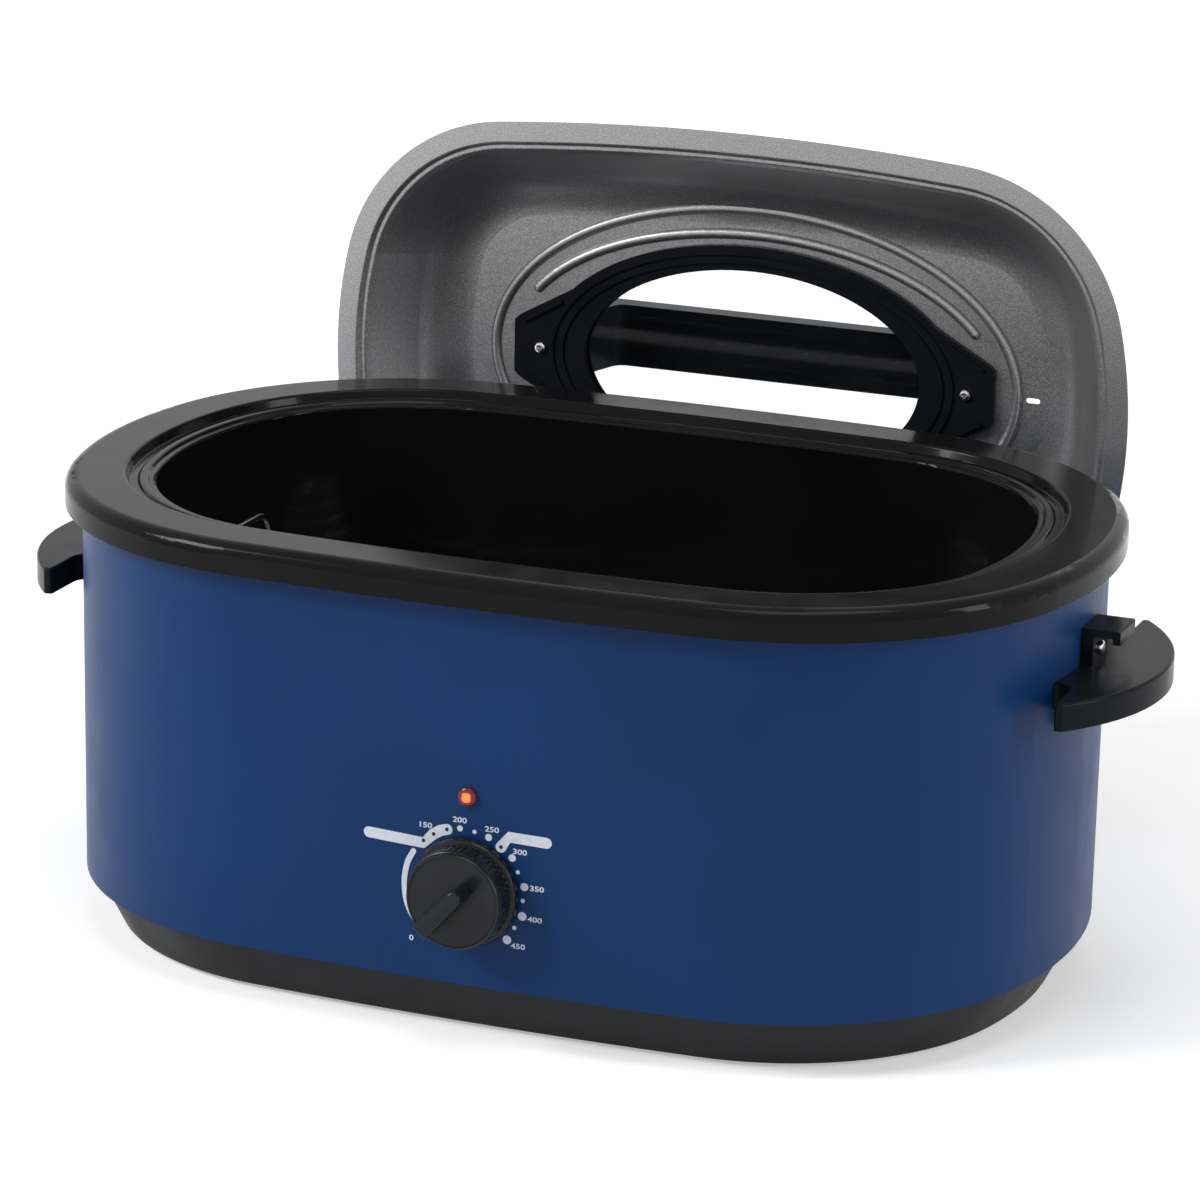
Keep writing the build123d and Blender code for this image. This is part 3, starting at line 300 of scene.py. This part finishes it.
def makeLidCoat():
    material, tree, shader = newMaterial("lidCoat")
    coords = addNode(tree, "ShaderNodeTexCoord").outputs["Object"]
    specks = noiseOn(tree, coords, lidCoat["speckScale"], 3)
    shown = spread(tree, specks.outputs[0], 0, 1, lidCoat["speckLow"], lidCoat["speckHigh"])
    tree.links.new(blendColours(tree, shown.outputs[0], lidCoat["tone"], lidCoat["speck"]),
                   shader.inputs["Base Color"])
    tree.links.new(spread(tree, specks.outputs[0], lidCoat["roughLow"], lidCoat["roughHigh"]).outputs[0],
                   shader.inputs["Roughness"])
    shader.inputs["Metallic"].default_value = lidCoat["metallic"]
    setBump(tree, shader, specks.outputs[0], lidCoat["bump"], lidCoat["bumpDepth"])
    return material


looks["lidCoat"] = makeLidCoat()


glass = {"tint": (0.96, 0.98, 0.98, 1), "ior": 1.5, "smearScale": 30, "smearRoughness": 0.03}


def makeGlass():
    material, tree, shader = newMaterial("windowGlass")
    coords = addNode(tree, "ShaderNodeTexCoord").outputs["Object"]
    smear = noiseOn(tree, coords, glass["smearScale"], 3)
    tree.links.new(spread(tree, smear.outputs[0], 0.0, glass["smearRoughness"]).outputs[0],
                   shader.inputs["Roughness"])
    shader.inputs["Base Color"].default_value = glass["tint"]
    shader.inputs["Transmission Weight"].default_value = 1.0
    shader.inputs["IOR"].default_value = glass["ior"]
    return material


looks["windowGlass"] = makeGlass()


lens = {
    "light": (0.085, 0.0030, 0.0018, 1),
    "dark": (0.050, 0.0022, 0.0014, 1),
    "cloudScale": 500,
    "roughLow": 0.06,
    "roughHigh": 0.12,
    "glow": (0.6, 0.015, 0.008, 1),
    "glowStrength": 0.10,
}


def makeRedLens():
    material, tree, shader = newMaterial("redLens")
    coords = addNode(tree, "ShaderNodeTexCoord").outputs["Object"]
    cloud = noiseOn(tree, coords, lens["cloudScale"], 2)
    tree.links.new(blendColours(tree, spread(tree, cloud.outputs[0], 0, 1).outputs[0],
                                lens["light"], lens["dark"]), shader.inputs["Base Color"])
    tree.links.new(spread(tree, cloud.outputs[0], lens["roughLow"], lens["roughHigh"]).outputs[0],
                   shader.inputs["Roughness"])
    shader.inputs["Emission Color"].default_value = lens["glow"]
    shader.inputs["Emission Strength"].default_value = lens["glowStrength"]
    return material


# the lit window of the lamp, a rounded and nearly flat pad in the face of the lens
lampLook = {
    "centre": (0.0065, -0.1815, 0.1300),
    "halfWidth": 0.0031,
    "halfHeight": 0.0034,
    "corner": 0.0015,
    "front": -0.18150,
    "back": -0.17940,
    "domeRadius": 0.0400,
    "cornerSteps": 5,
    "rings": (1.0, 0.97, 0.7, 0.4),     # shares of the outline, the first at the rounded-over edge
    "edgeDrop": 0.0004,
    "hot": (1.0, 0.24, 0.04, 1),
    "warm": (0.86, 0.030, 0.012, 1),
    "hotReach": 0.0004,
    "warmReach": 0.0034,
    "strength": 0.86,
    "rippleScale": 900,
    "roughLow": 0.10,
    "roughHigh": 0.20,
    "bump": 0.4,
    "bumpDepth": 0.00005,
}


# hot in its middle and deep red at its rim
def makeLampGlow():
    material, tree, shader = newMaterial("lampGlow")
    coords = addNode(tree, "ShaderNodeTexCoord").outputs["Object"]
    away = addNode(tree, "ShaderNodeVectorMath", ((0, coords), (1, lampLook["centre"])),
                   operation="DISTANCE")
    fade = spread(tree, away.outputs["Value"], 0, 1, lampLook["hotReach"], lampLook["warmReach"])
    glow = blendColours(tree, fade.outputs[0], lampLook["hot"], lampLook["warm"])
    tree.links.new(glow, shader.inputs["Base Color"])
    tree.links.new(glow, shader.inputs["Emission Color"])
    ripple = noiseOn(tree, coords, lampLook["rippleScale"], 2)
    tree.links.new(spread(tree, ripple.outputs[0], lampLook["roughLow"], lampLook["roughHigh"]).outputs[0],
                   shader.inputs["Roughness"])
    shader.inputs["Emission Strength"].default_value = lampLook["strength"]
    setBump(tree, shader, ripple.outputs[0], lampLook["bump"], lampLook["bumpDepth"])
    return material


looks["redLens"] = makeRedLens()
looks["lampGlow"] = makeLampGlow()

nodeLooks = {
    "outer_shell": "bluePaint", "base_skirt": "skirtPlastic", "bottom_plate": "zincSteel",
    "rubber_feet": "footRubber", "well_posts": "zincSteel", "base_screws": "brightScrew",
    "heating_well": "wellSteel", "heating_band": "bandSteel", "insulation_blanket": "fibreFelt",
    "thermostat_bracket": "zincSteel", "thermostat_body": "phenolic", "bush_nut": "brassNut",
    "indicator_lens": "redLens", "indicator_clip": "zincSteel", "indicator_lamp": "phenolic",
    "handle_right": "handlePlastic", "handle_left": "handlePlastic", "handle_screws": "brightScrew",
    "handle_nuts": "brightScrew", "cord_bush": "handlePlastic", "terminal_block": "glazedCeramic",
    "lid_rest": "blackCoat", "rest_screws": "brightScrew", "roasting_pan": "panEnamel",
    "wire_rack": "rackChrome", "knob": "knobPlastic", "thermostat_shaft": "zincSteel",
    "lid_shell": "lidCoat", "window_glass": "windowGlass", "window_gasket": "gasketRubber",
    "window_bezel": "handlePlastic", "lid_handle": "handlePlastic", "lid_screws": "brightScrew",
}


def dressNodes():
    for name, look in nodeLooks.items():
        mesh = nodes[name].data
        mesh.materials.clear()
        mesh.materials.append(looks[look])


dressNodes()
print("materials made and put on the nodes")


# printed marks round the dial

dial = {
    # in metres: radius of the front in plan, its place, gap below the print and the print's thickness
    "bow": 2.000,
    "front": -0.179,
    "lift": 0.00002,
    "film": 0.00010,
    "weld": 0.000002,
    # in mm from here on; a dot is x, z and radius
    "dots": ((2.5, 112.7, 1.6), (17.9, 110.2, 1.85), (30.6, 101.2, 1.95), (37.3, 86.9, 2.1),
             (36.4, 71.3, 2.3), (28.5, 57.7, 2.3), (10.3, 112.0, 1.1), (33.7, 94.2, 1.1),
             (36.6, 79.5, 1.1), (32.3, 64.6, 1.1)),
    "dotSteps": 28,
    "numbers": (("150", -16.4, 111.7), ("200", 2.3, 117.0), ("250", 19.6, 114.4), ("300", 34.6, 104.7),
                ("350", 43.9, 86.6), ("400", 43.1, 70.2), ("450", 34.4, 54.9), ("0", -23.4, 50.8)),
    "numberSize": 3.9,
    "numberStretch": 1.32,
    "numberWeight": 0.07,
    "numberSteps": 4,
    "leftStrip": ((-47.2, 103.5), (-17.2, 102.3), (-12.1, 107.5), (-8.1, 110.1), (-4.4, 111.2)),
    "rightStrip": ((24.5, 106.0), (28.9, 111.9), (48.6, 111.5)),
    "stripHalf": 2.85,
    "stripHoles": ((-17.2, 103.5, 1.0), (-11.7, 107.7, 1.0), (-4.6, 111.2, 1.0), (24.6, 106.1, 1.0)),
    "offArc": ((-22.6, 97.2), (-25.9, 90.5), (-27.5, 81.5), (-27.1, 72.5), (-25.2, 65.5), (-22.0, 59.7)),
    "offArcHalf": (1.45, 1.5, 1.45, 1.2, 0.8, 0.25),
    "arcSteps": 5,
    "capSteps": 8,
}


# point on the bowed front at a height off its paint, x and z in metres
def onFront(x, z, height):
    sag = dial["bow"] - math.sqrt(dial["bow"] ** 2 - x * x)
    return Vector((x, dial["front"] + sag - height, z))


# points of (x, z, half width) on a smooth line through the given ones
def smoothPath(points, steps):
    ends = [points[0]] + list(points) + [points[-1]]
    path = []
    for a, b, c, d in zip(ends, ends[1:], ends[2:], ends[3:]):
        for step in range(steps):
            t = step / steps
            path.append(tuple(
                0.5 * (2 * q + (r - p) * t + (2 * p - 5 * q + 4 * r - s) * t * t
                       + (3 * q - p - 3 * r + s) * t ** 3)
                for p, q, r, s in zip(a, b, c, d)))
    return path + [points[-1]]


# outline of a stroke with round ends, from points of (x, z, half width)
def strokeOutline(points):
    left, right = [], []
    for index, (x, z, half) in enumerate(points):
        before = points[max(index - 1, 0)]
        after = points[min(index + 1, len(points) - 1)]
        along = Vector((after[0] - before[0], after[1] - before[1])).normalized()
        left.append((x - along.y * half, z + along.x * half))
        right.append((x + along.y * half, z - along.x * half))

    def cap(centre, start):
        x, z, half = centre
        first = math.atan2(start[1] - z, start[0] - x)
        angles = [first - math.pi * s / dial["capSteps"] for s in range(1, dial["capSteps"])]
        return [(x + half * math.cos(a), z + half * math.sin(a)) for a in angles]

    return left + cap(points[-1], left[-1]) + right[::-1] + cap(points[0], right[0])


# side faces between two closed rows of corners
def wallBetween(build, first, second):
    for here in range(len(first)):
        after = (here + 1) % len(first)
        build.faces.new((first[here], second[here], second[after], first[after]))


# a thin raised patch of print on the front, closed on all sides, its outline in mm
def addPatch(build, outline, low, high):
    top, foot = ([build.verts.new(onFront(x / 1000, z / 1000, height)) for x, z in outline]
                 for height in (high, low))
    build.faces.new(top)
    build.faces.new(foot[::-1])
    wallBetween(build, top, foot)


def addPiece(name, mesh, look, body):
    piece = bpy.data.objects.new(name, mesh)
    scene.collection.objects.link(piece)
    mesh.materials.clear()
    mesh.materials.append(looks[look])
    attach(piece, body)
    return piece


def meshFrom(build, name):
    mesh = bpy.data.meshes.new(name)
    bmesh.ops.recalc_face_normals(build, faces=build.faces)
    build.to_mesh(mesh)
    build.free()
    return mesh


# the mesh of an object with its modifiers applied
def meshOf(item):
    return bpy.data.meshes.new_from_object(item.evaluated_get(bpy.context.evaluated_depsgraph_get()))


def drop(*items):
    for item in items:
        bpy.data.objects.remove(item)


# stamps one shape on every point of a mesh, turned to the point's facing and scaled by its size
def makeStampTree():
    tree = bpy.data.node_groups.new("stampOnPoints", "GeometryNodeTree")
    for label, kind, side in (("Points", "Geometry", "INPUT"), ("Stamp", "Object", "INPUT"),
                              ("Paint", "Material", "INPUT"), ("Stamped", "Geometry", "OUTPUT")):
        tree.interface.new_socket(name=label, in_out=side, socket_type="NodeSocket" + kind)
    given = addNode(tree, "NodeGroupInput")
    facing, size = (addNode(tree, "GeometryNodeInputNamedAttribute", (("Name", label),),
                            data_type="FLOAT_VECTOR") for label in ("facing", "size"))
    turn = addNode(tree, "FunctionNodeAlignRotationToVector", (("Vector", facing.outputs[0]),), axis="Z")
    stamp = addNode(tree, "GeometryNodeObjectInfo",
                    (("Object", given.outputs["Stamp"]), ("As Instance", True)))
    stamped = addNode(tree, "GeometryNodeInstanceOnPoints",
                      (("Points", given.outputs["Points"]), ("Instance", stamp.outputs["Geometry"]),
                       ("Rotation", turn.outputs[0]), ("Scale", size.outputs[0])))
    solid = addNode(tree, "GeometryNodeRealizeInstances", (("Geometry", stamped.outputs[0]),))
    painted = addNode(tree, "GeometryNodeSetMaterial",
                      (("Geometry", solid.outputs[0]), ("Material", given.outputs["Paint"])))
    addNode(tree, "NodeGroupOutput", (("Stamped", painted.outputs[0]),))
    return tree


stampTree = makeStampTree()


# places are (point, facing, size)
def stampPiece(name, stampMesh, places, look, body):
    spots, facings, sizes = zip(*places)
    points = bpy.data.meshes.new(name + "Points")
    points.from_pydata(spots, [], [])
    for label, values in (("facing", facings), ("size", sizes)):
        layer = points.attributes.new(label, "FLOAT_VECTOR", "POINT")
        for item, value in zip(layer.data, values):
            item.vector = value
    stamp = bpy.data.objects.new(name + "Stamp", stampMesh)
    holder = bpy.data.objects.new(name + "Holder", points)
    scene.collection.objects.link(stamp)
    scene.collection.objects.link(holder)
    stamping = holder.modifiers.new("stamp", "NODES")
    stamping.node_group = stampTree
    inputs = {item.name: item.identifier
              for item in stampTree.interface.items_tree if item.in_out == "INPUT"}
    stamping[inputs["Stamp"]] = stamp
    stamping[inputs["Paint"]] = looks[look]
    mesh = meshOf(holder)
    mesh.name = name
    drop(stamp, holder)
    return addPiece(name, mesh, look, body)


# a row of corners on a circle round Z
def ringAt(build, radius, height, steps):
    turns = [2 * math.pi * s / steps for s in range(steps)]
    return [build.verts.new((radius * math.cos(a), radius * math.sin(a), height)) for a in turns]


# a disc of radius 1 and thickness 1, to be scaled by each dot's size
def discMesh():
    disc = bmesh.new()
    foot, top = (ringAt(disc, 1.0, height, dial["dotSteps"]) for height in (0.0, 1.0))
    disc.faces.new(top)
    disc.faces.new(foot[::-1])
    wallBetween(disc, foot, top)
    return meshFrom(disc, "disc")


def dotPlaces(dots, height, film):
    places = []
    for x, z, radius in dots:
        foot = onFront(x / 1000, z / 1000, height)
        facing = Vector((x / 1000 / dial["bow"], -1, 0)).normalized()
        places.append((foot, facing, (radius / 1000, radius / 1000, film)))
    return places


def makeDialPrint():
    low, film = dial["lift"], dial["film"]
    strokes = bmesh.new()
    half = dial["stripHalf"]
    for strip in (dial["leftStrip"], dial["rightStrip"]):
        addPatch(strokes, strokeOutline([(x, z, half) for x, z in strip]), low, low + film)
    arc = [(x, z, width) for (x, z), width in zip(dial["offArc"], dial["offArcHalf"])]
    addPatch(strokes, strokeOutline(smoothPath(arc, dial["arcSteps"])), low, low + film)
    addPiece("dialStrips", meshFrom(strokes, "dialStrips"), "whitePrint", "base")
    stampPiece("dialDots", discMesh(), dotPlaces(dial["dots"], low, film), "whitePrint", "base")
    holes = dotPlaces(dial["stripHoles"], low + film, film / 2)
    stampPiece("dialStripHoles", discMesh(), holes, "darkPrint", "base")


def makeDialNumbers():
    joined = bmesh.new()
    for words, x, z in dial["numbers"]:
        curve = bpy.data.curves.new("number" + words, "FONT")
        curve.body = words
        curve.size = dial["numberSize"]
        curve.offset = dial["numberWeight"]
        curve.align_x = curve.align_y = "CENTER"
        curve.resolution_u = dial["numberSteps"]
        curve.extrude = dial["film"] * 500      # half the film in mm, as the curve is in mm
        text = bpy.data.objects.new("number" + words, curve)
        scene.collection.objects.link(text)
        shape = meshOf(text)
        for vertex in shape.vertices:
            across, up, out = vertex.co
            vertex.co = onFront((across * dial["numberStretch"] + x) / 1000, (up + z) / 1000,
                                dial["lift"] + dial["film"] / 2 + out / 1000)
        joined.from_mesh(shape)
        drop(text)
        bpy.data.curves.remove(curve)
        bpy.data.meshes.remove(shape)
    bmesh.ops.remove_doubles(joined, verts=joined.verts, dist=dial["weld"])
    addPiece("dialNumbers", meshFrom(joined, "dialNumbers"), "whitePrint", "base")


makeDialPrint()
makeDialNumbers()
print("dial printed")


# lit window of the lamp

def makeLampWindow():
    middle, corner, steps = lampLook["centre"], lampLook["corner"], lampLook["cornerSteps"]
    outline = []
    for sideX, sideZ, first in ((1, 1, 0), (-1, 1, 90), (-1, -1, 180), (1, -1, 270)):
        for step in range(steps + 1):
            angle = math.radians(first + 90 * step / steps)
            outline.append((sideX * (lampLook["halfWidth"] - corner) + corner * math.cos(angle),
                            sideZ * (lampLook["halfHeight"] - corner) + corner * math.sin(angle)))
    pad = bmesh.new()
    radius = lampLook["domeRadius"]
    rings = []
    for share in lampLook["rings"]:
        sunk = lampLook["edgeDrop"] if share == 1.0 else 0
        ring = []
        for u, v in outline:
            bowed = radius - math.sqrt(radius ** 2 - (u * share) ** 2 - (v * share) ** 2)
            ring.append(pad.verts.new((middle[0] + u * share, lampLook["front"] + bowed + sunk,
                                       middle[2] + v * share)))
        rings.append(ring)
    foot = [pad.verts.new((middle[0] + u, lampLook["back"], middle[2] + v)) for u, v in outline]
    tip = pad.verts.new((middle[0], lampLook["front"], middle[2]))
    for outer, inner in zip([foot] + rings[:-1], rings):
        wallBetween(pad, outer, inner)
    for here in range(len(outline)):
        pad.faces.new((rings[-1][here], rings[-1][(here + 1) % len(outline)], tip))
    pad.faces.new(foot[::-1])
    addPiece("lampWindow", meshFrom(pad, "lampWindow"), "lampGlow", "base")


makeLampWindow()
print("lamp window made")


# dial knob: skirt, fluted drum, dished face and a tall pointer bar

knob = {
    # in metres: x and z of the axis, and the front that it turns on
    "centre": (0.0065, 0.0805),
    "wall": -0.179,
    "segments": 384,
    "flutes": 48,
    "fluteDepth": 0.55,
    # radius and height off the front in mm, from the shaft's socket round to the middle of the face
    "profile": ((0, 15.4), (3.15, 15.4), (3.15, 9.6), (5.6, 9.6), (5.6, 15.7), (21.9, 15.7), (21.9, 0.8),
                (28.0, 0.8), (28.3, 1.2), (28.3, 3.9), (28.0, 4.9), (27.3, 5.6), (26.4, 5.8), (25.7, 5.9),
                (25.7, 6.6), (25.7, 16.2), (25.5, 16.8), (25.2, 17.0), (25.1, 17.6), (24.9, 18.2),
                (24.5, 18.7), (24.0, 18.8), (23.6, 18.7), (23.3, 18.45), (22.6, 18.4), (0, 18.4)),
    "flutedRows": (14, 15),     # the two that bound the drum's side
    # the pointer: its turn from +X towards +Z in degrees, and its lengths from the axis in mm
    "turn": 227,
    "back": 9.0,
    "tip": 20.5,
    "backHalf": 4.0,
    "tipHalf": 4.8,
    "tipRound": 1.4,
    "foot": 18.0,
    "top": 32.0,
    "taper": 0.93,
    "edge": 0.9,
    "edgeSteps": 3,
    "roundSteps": 12,
    "cornerSteps": 4,
    "sharpAngle": 32,
}


# place of a point given in mm from the knob's axis and off the front
def onKnob(x, z, height):
    return Vector((knob["centre"][0] + x / 1000,
                   knob["wall"] - height / 1000,
                   knob["centre"][1] + z / 1000))


# the turned body; the ends of the profile lie on the axis and close it with triangles
def knobTurning(build):
    segments, rows = knob["segments"], []
    for index, (radius, height) in enumerate(knob["profile"]):
        if radius == 0:
            rows.append([build.verts.new(onKnob(0, 0, height))] * segments)
            continue
        row = []
        for s in range(segments):
            angle = 2 * math.pi * s / segments
            reach = radius
            if index in knob["flutedRows"]:
                reach -= knob["fluteDepth"] * max(0, math.cos(knob["flutes"] * angle))
            row.append(build.verts.new(onKnob(reach * math.cos(angle), reach * math.sin(angle), height)))
        rows.append(row)
    for first, second in zip(rows, rows[1:]):
        for s in range(segments):
            corners = [first[s], second[s], second[(s + 1) % segments], first[(s + 1) % segments]]
            build.faces.new(list(dict.fromkeys(corners)))


# along and across the bar, round at its back and square with small corners at its tip
def pointerOutline():
    outline = []
    back, backHalf, roundSteps = knob["back"], knob["backHalf"], knob["roundSteps"]
    for step in range(roundSteps + 1):
        angle = math.radians(90 + 180 * step / roundSteps)
        outline.append((backHalf * math.cos(angle) - back, backHalf * math.sin(angle)))
    corner, tip, half, cornerSteps = knob["tipRound"], knob["tip"], knob["tipHalf"], knob["cornerSteps"]
    for side, first in ((-1, -90), (1, 0)):
        for step in range(cornerSteps + 1):
            angle = math.radians(first + 90 * step / cornerSteps)
            outline.append((tip - corner + corner * math.cos(angle),
                            side * (half - corner) + corner * math.sin(angle)))
    return outline


def knobPointer(build):
    turn = math.radians(knob["turn"])

    def place(along, across, height):
        return onKnob(along * math.cos(turn) - across * math.sin(turn),
                      along * math.sin(turn) + across * math.cos(turn), height)

    outline, taper = pointerOutline(), knob["taper"]
    foot = [build.verts.new(place(a, b, knob["foot"])) for a, b in outline]
    top = [build.verts.new(place(a * taper, b * taper, knob["top"])) for a, b in outline]
    build.faces.new(foot)
    face = build.faces.new(top)
    # each side starts at the foot, because the way the bevel splits it depends on that
    for here in range(len(outline)):
        after = (here + 1) % len(outline)
        build.faces.new((foot[here], foot[after], top[after], top[here]))
    bmesh.ops.bevel(build, geom=list(face.edges), offset=knob["edge"] / 1000, segments=knob["edgeSteps"],
                    profile=0.5, affect="EDGES")


def smoothByAngle(mesh, degrees):
    mesh.polygons.foreach_set("use_smooth", [True] * len(mesh.polygons))
    mesh.set_sharp_from_angle(angle=math.radians(degrees))


def makeKnob():
    parts = bmesh.new()
    knobTurning(parts)
    knobPointer(parts)
    mesh = meshFrom(parts, "dialKnob")
    smoothByAngle(mesh, knob["sharpAngle"])
    piece = addPiece("dialKnob", mesh, "knobPlastic", "knob")
    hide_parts("knob")


makeKnob()
print("knob made")


# screws with a cross recess in place of the plain ones

screws = {
    "segments": 40,
    # shares of the head's radius and height
    "head": ((0.55, 0.02), (0.80, 0.14), (0.94, 0.36), (1, 0.66), (1, 1)),
    "tip": 0.0008,
    "tipShare": 0.6,            # of the shank's radius
    "recessDepth": 0.0012,
    "recessRise": 0.0005,       # of the cutter above the head
    "recessHalfWidth": 0.00042,
    "recessReach": 0.50,        # share of the head's radius
    "recessTaper": 0.72,
    "weld": 0.000001,
    "sets": {
        # node: piece, facing of the heads, head radius, head height, shank radius, body
        "handle_screws": ("handleScrewsCrossed", "outward", 0.0036, 0.0022, 0.0020, "base"),
        "rest_screws": ("restScrewsCrossed", (0, 1, 0), 0.0038, 0.0022, 0.0020, "base"),
        "base_screws": ("baseScrewsCrossed", (0, 0, -1), 0.0042, 0.0022, 0.0020, "base"),
        "lid_screws": ("lidScrewsCrossed", (0, -1, 0), 0.0033, 0.0022, 0.0018, "lid"),
    },
}


# lowest and highest corner of each separate solid in a node's mesh
def solidBoxes(node):
    work = bmesh.new()
    work.from_mesh(nodes[node].data)
    bmesh.ops.remove_doubles(work, verts=work.verts, dist=screws["weld"])
    work.verts.index_update()
    seen, boxes = set(), []
    for start in work.verts:
        if start.index in seen:
            continue
        seen.add(start.index)
        group, front = [], [start]
        while front:
            vertex = front.pop()
            group.append(vertex.co.copy())
            for edge in vertex.link_edges:
                other = edge.other_vert(vertex)
                if other.index not in seen:
                    seen.add(other.index)
                    front.append(other)
        boxes.append([[pick(corner[i] for corner in group) for i in range(3)] for pick in (min, max)])
    work.free()
    return boxes


# a screw with the top of its head at the origin and its shank down -Z
def screwBlank(headRadius, headHeight, shankRadius, length):
    profile = [(radius * headRadius, -height * headHeight) for radius, height in screws["head"]]
    profile += [(shankRadius, -headHeight), (shankRadius, -length + screws["tip"]),
                (screws["tipShare"] * shankRadius, -length)]
    solid = bmesh.new()
    rings = [ringAt(solid, radius, z, screws["segments"]) for radius, z in profile]
    solid.faces.new(rings[0])
    solid.faces.new(rings[-1][::-1])
    for upper, lower in zip(rings, rings[1:]):
        wallBetween(solid, upper, lower)
    return meshFrom(solid, "screwBlank")


def crossCutter(headRadius):
    reach, half = screws["recessReach"] * headRadius, screws["recessHalfWidth"]
    taper = screws["recessTaper"]
    quarter = [(reach, half), (half, half), (half, reach)]
    outline = []
    for turn in range(4):
        outline += quarter
        quarter = [(-y, x) for x, y in quarter]
    cut = bmesh.new()
    top = [cut.verts.new((x, y, screws["recessRise"])) for x, y in outline]
    foot = [cut.verts.new((taper * x, taper * y, -screws["recessDepth"])) for x, y in outline]
    cut.faces.new(top)
    cut.faces.new(foot[::-1])
    wallBetween(cut, top, foot)
    return meshFrom(cut, "screwCross")


def screwMesh(headRadius, headHeight, shankRadius, length):
    blank = bpy.data.objects.new("screwBlank", screwBlank(headRadius, headHeight, shankRadius, length))
    cross = bpy.data.objects.new("screwCross", crossCutter(headRadius))
    for item in (blank, cross):
        scene.collection.objects.link(item)
    recess = blank.modifiers.new("recess", "BOOLEAN")
    recess.operation, recess.solver, recess.object = "DIFFERENCE", "EXACT", cross
    mesh = meshOf(blank)
    drop(blank, cross)
    return mesh


# one screw for each solid of the node, its head where the solid ends on the side it faces
def makeScrews():
    for node, (name, facing, headRadius, headHeight, shankRadius, body) in screws["sets"].items():
        places = []
        for low, high in solidBoxes(node):
            middle = [(a + b) / 2 for a, b in zip(low, high)]
            toward = Vector((math.copysign(1, middle[0]), 0, 0) if facing == "outward" else facing)
            axis = max(range(3), key=lambda i: abs(toward[i]))
            length = round(high[axis] - low[axis], 5)
            middle[axis] = high[axis] if toward[axis] > 0 else low[axis]
            places.append((middle, toward, (1, 1, 1)))
        mesh = screwMesh(headRadius, headHeight, shankRadius, length)
        piece = stampPiece(name, mesh, places, "brightScrew", body)
        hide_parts(node)


makeScrews()
print("screws made")


# felt blanket round the well

felt = {"voxel": 0.0036, "pull": 0.0007, "lump": 0.0011, "lumpScale": 70, "fill": 0.4}


def makeBlanket():
    holder = bpy.data.objects.new("feltBlank", nodes["insulation_blanket"].data.copy())
    scene.collection.objects.link(holder)
    grid = holder.modifiers.new("grid", "REMESH")
    grid.mode, grid.voxel_size = "VOXEL", felt["voxel"]
    mesh = meshOf(holder)
    drop(holder)
    mesh.name = "fibreBlanket"
    normals = [vertex.normal.copy() for vertex in mesh.vertices]
    for vertex, normal in zip(mesh.vertices, normals):
        lump = 0.5 + 0.5 * noise.noise(vertex.co * felt["lumpScale"])
        vertex.co -= normal * (felt["pull"] + felt["lump"] * lump)
    mesh.polygons.foreach_set("use_smooth", [True] * len(mesh.polygons))
    piece = addPiece("fibreBlanket", mesh, "fibreFelt", "base")
    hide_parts("insulation_blanket")


makeBlanket()
print("felt blanket made")
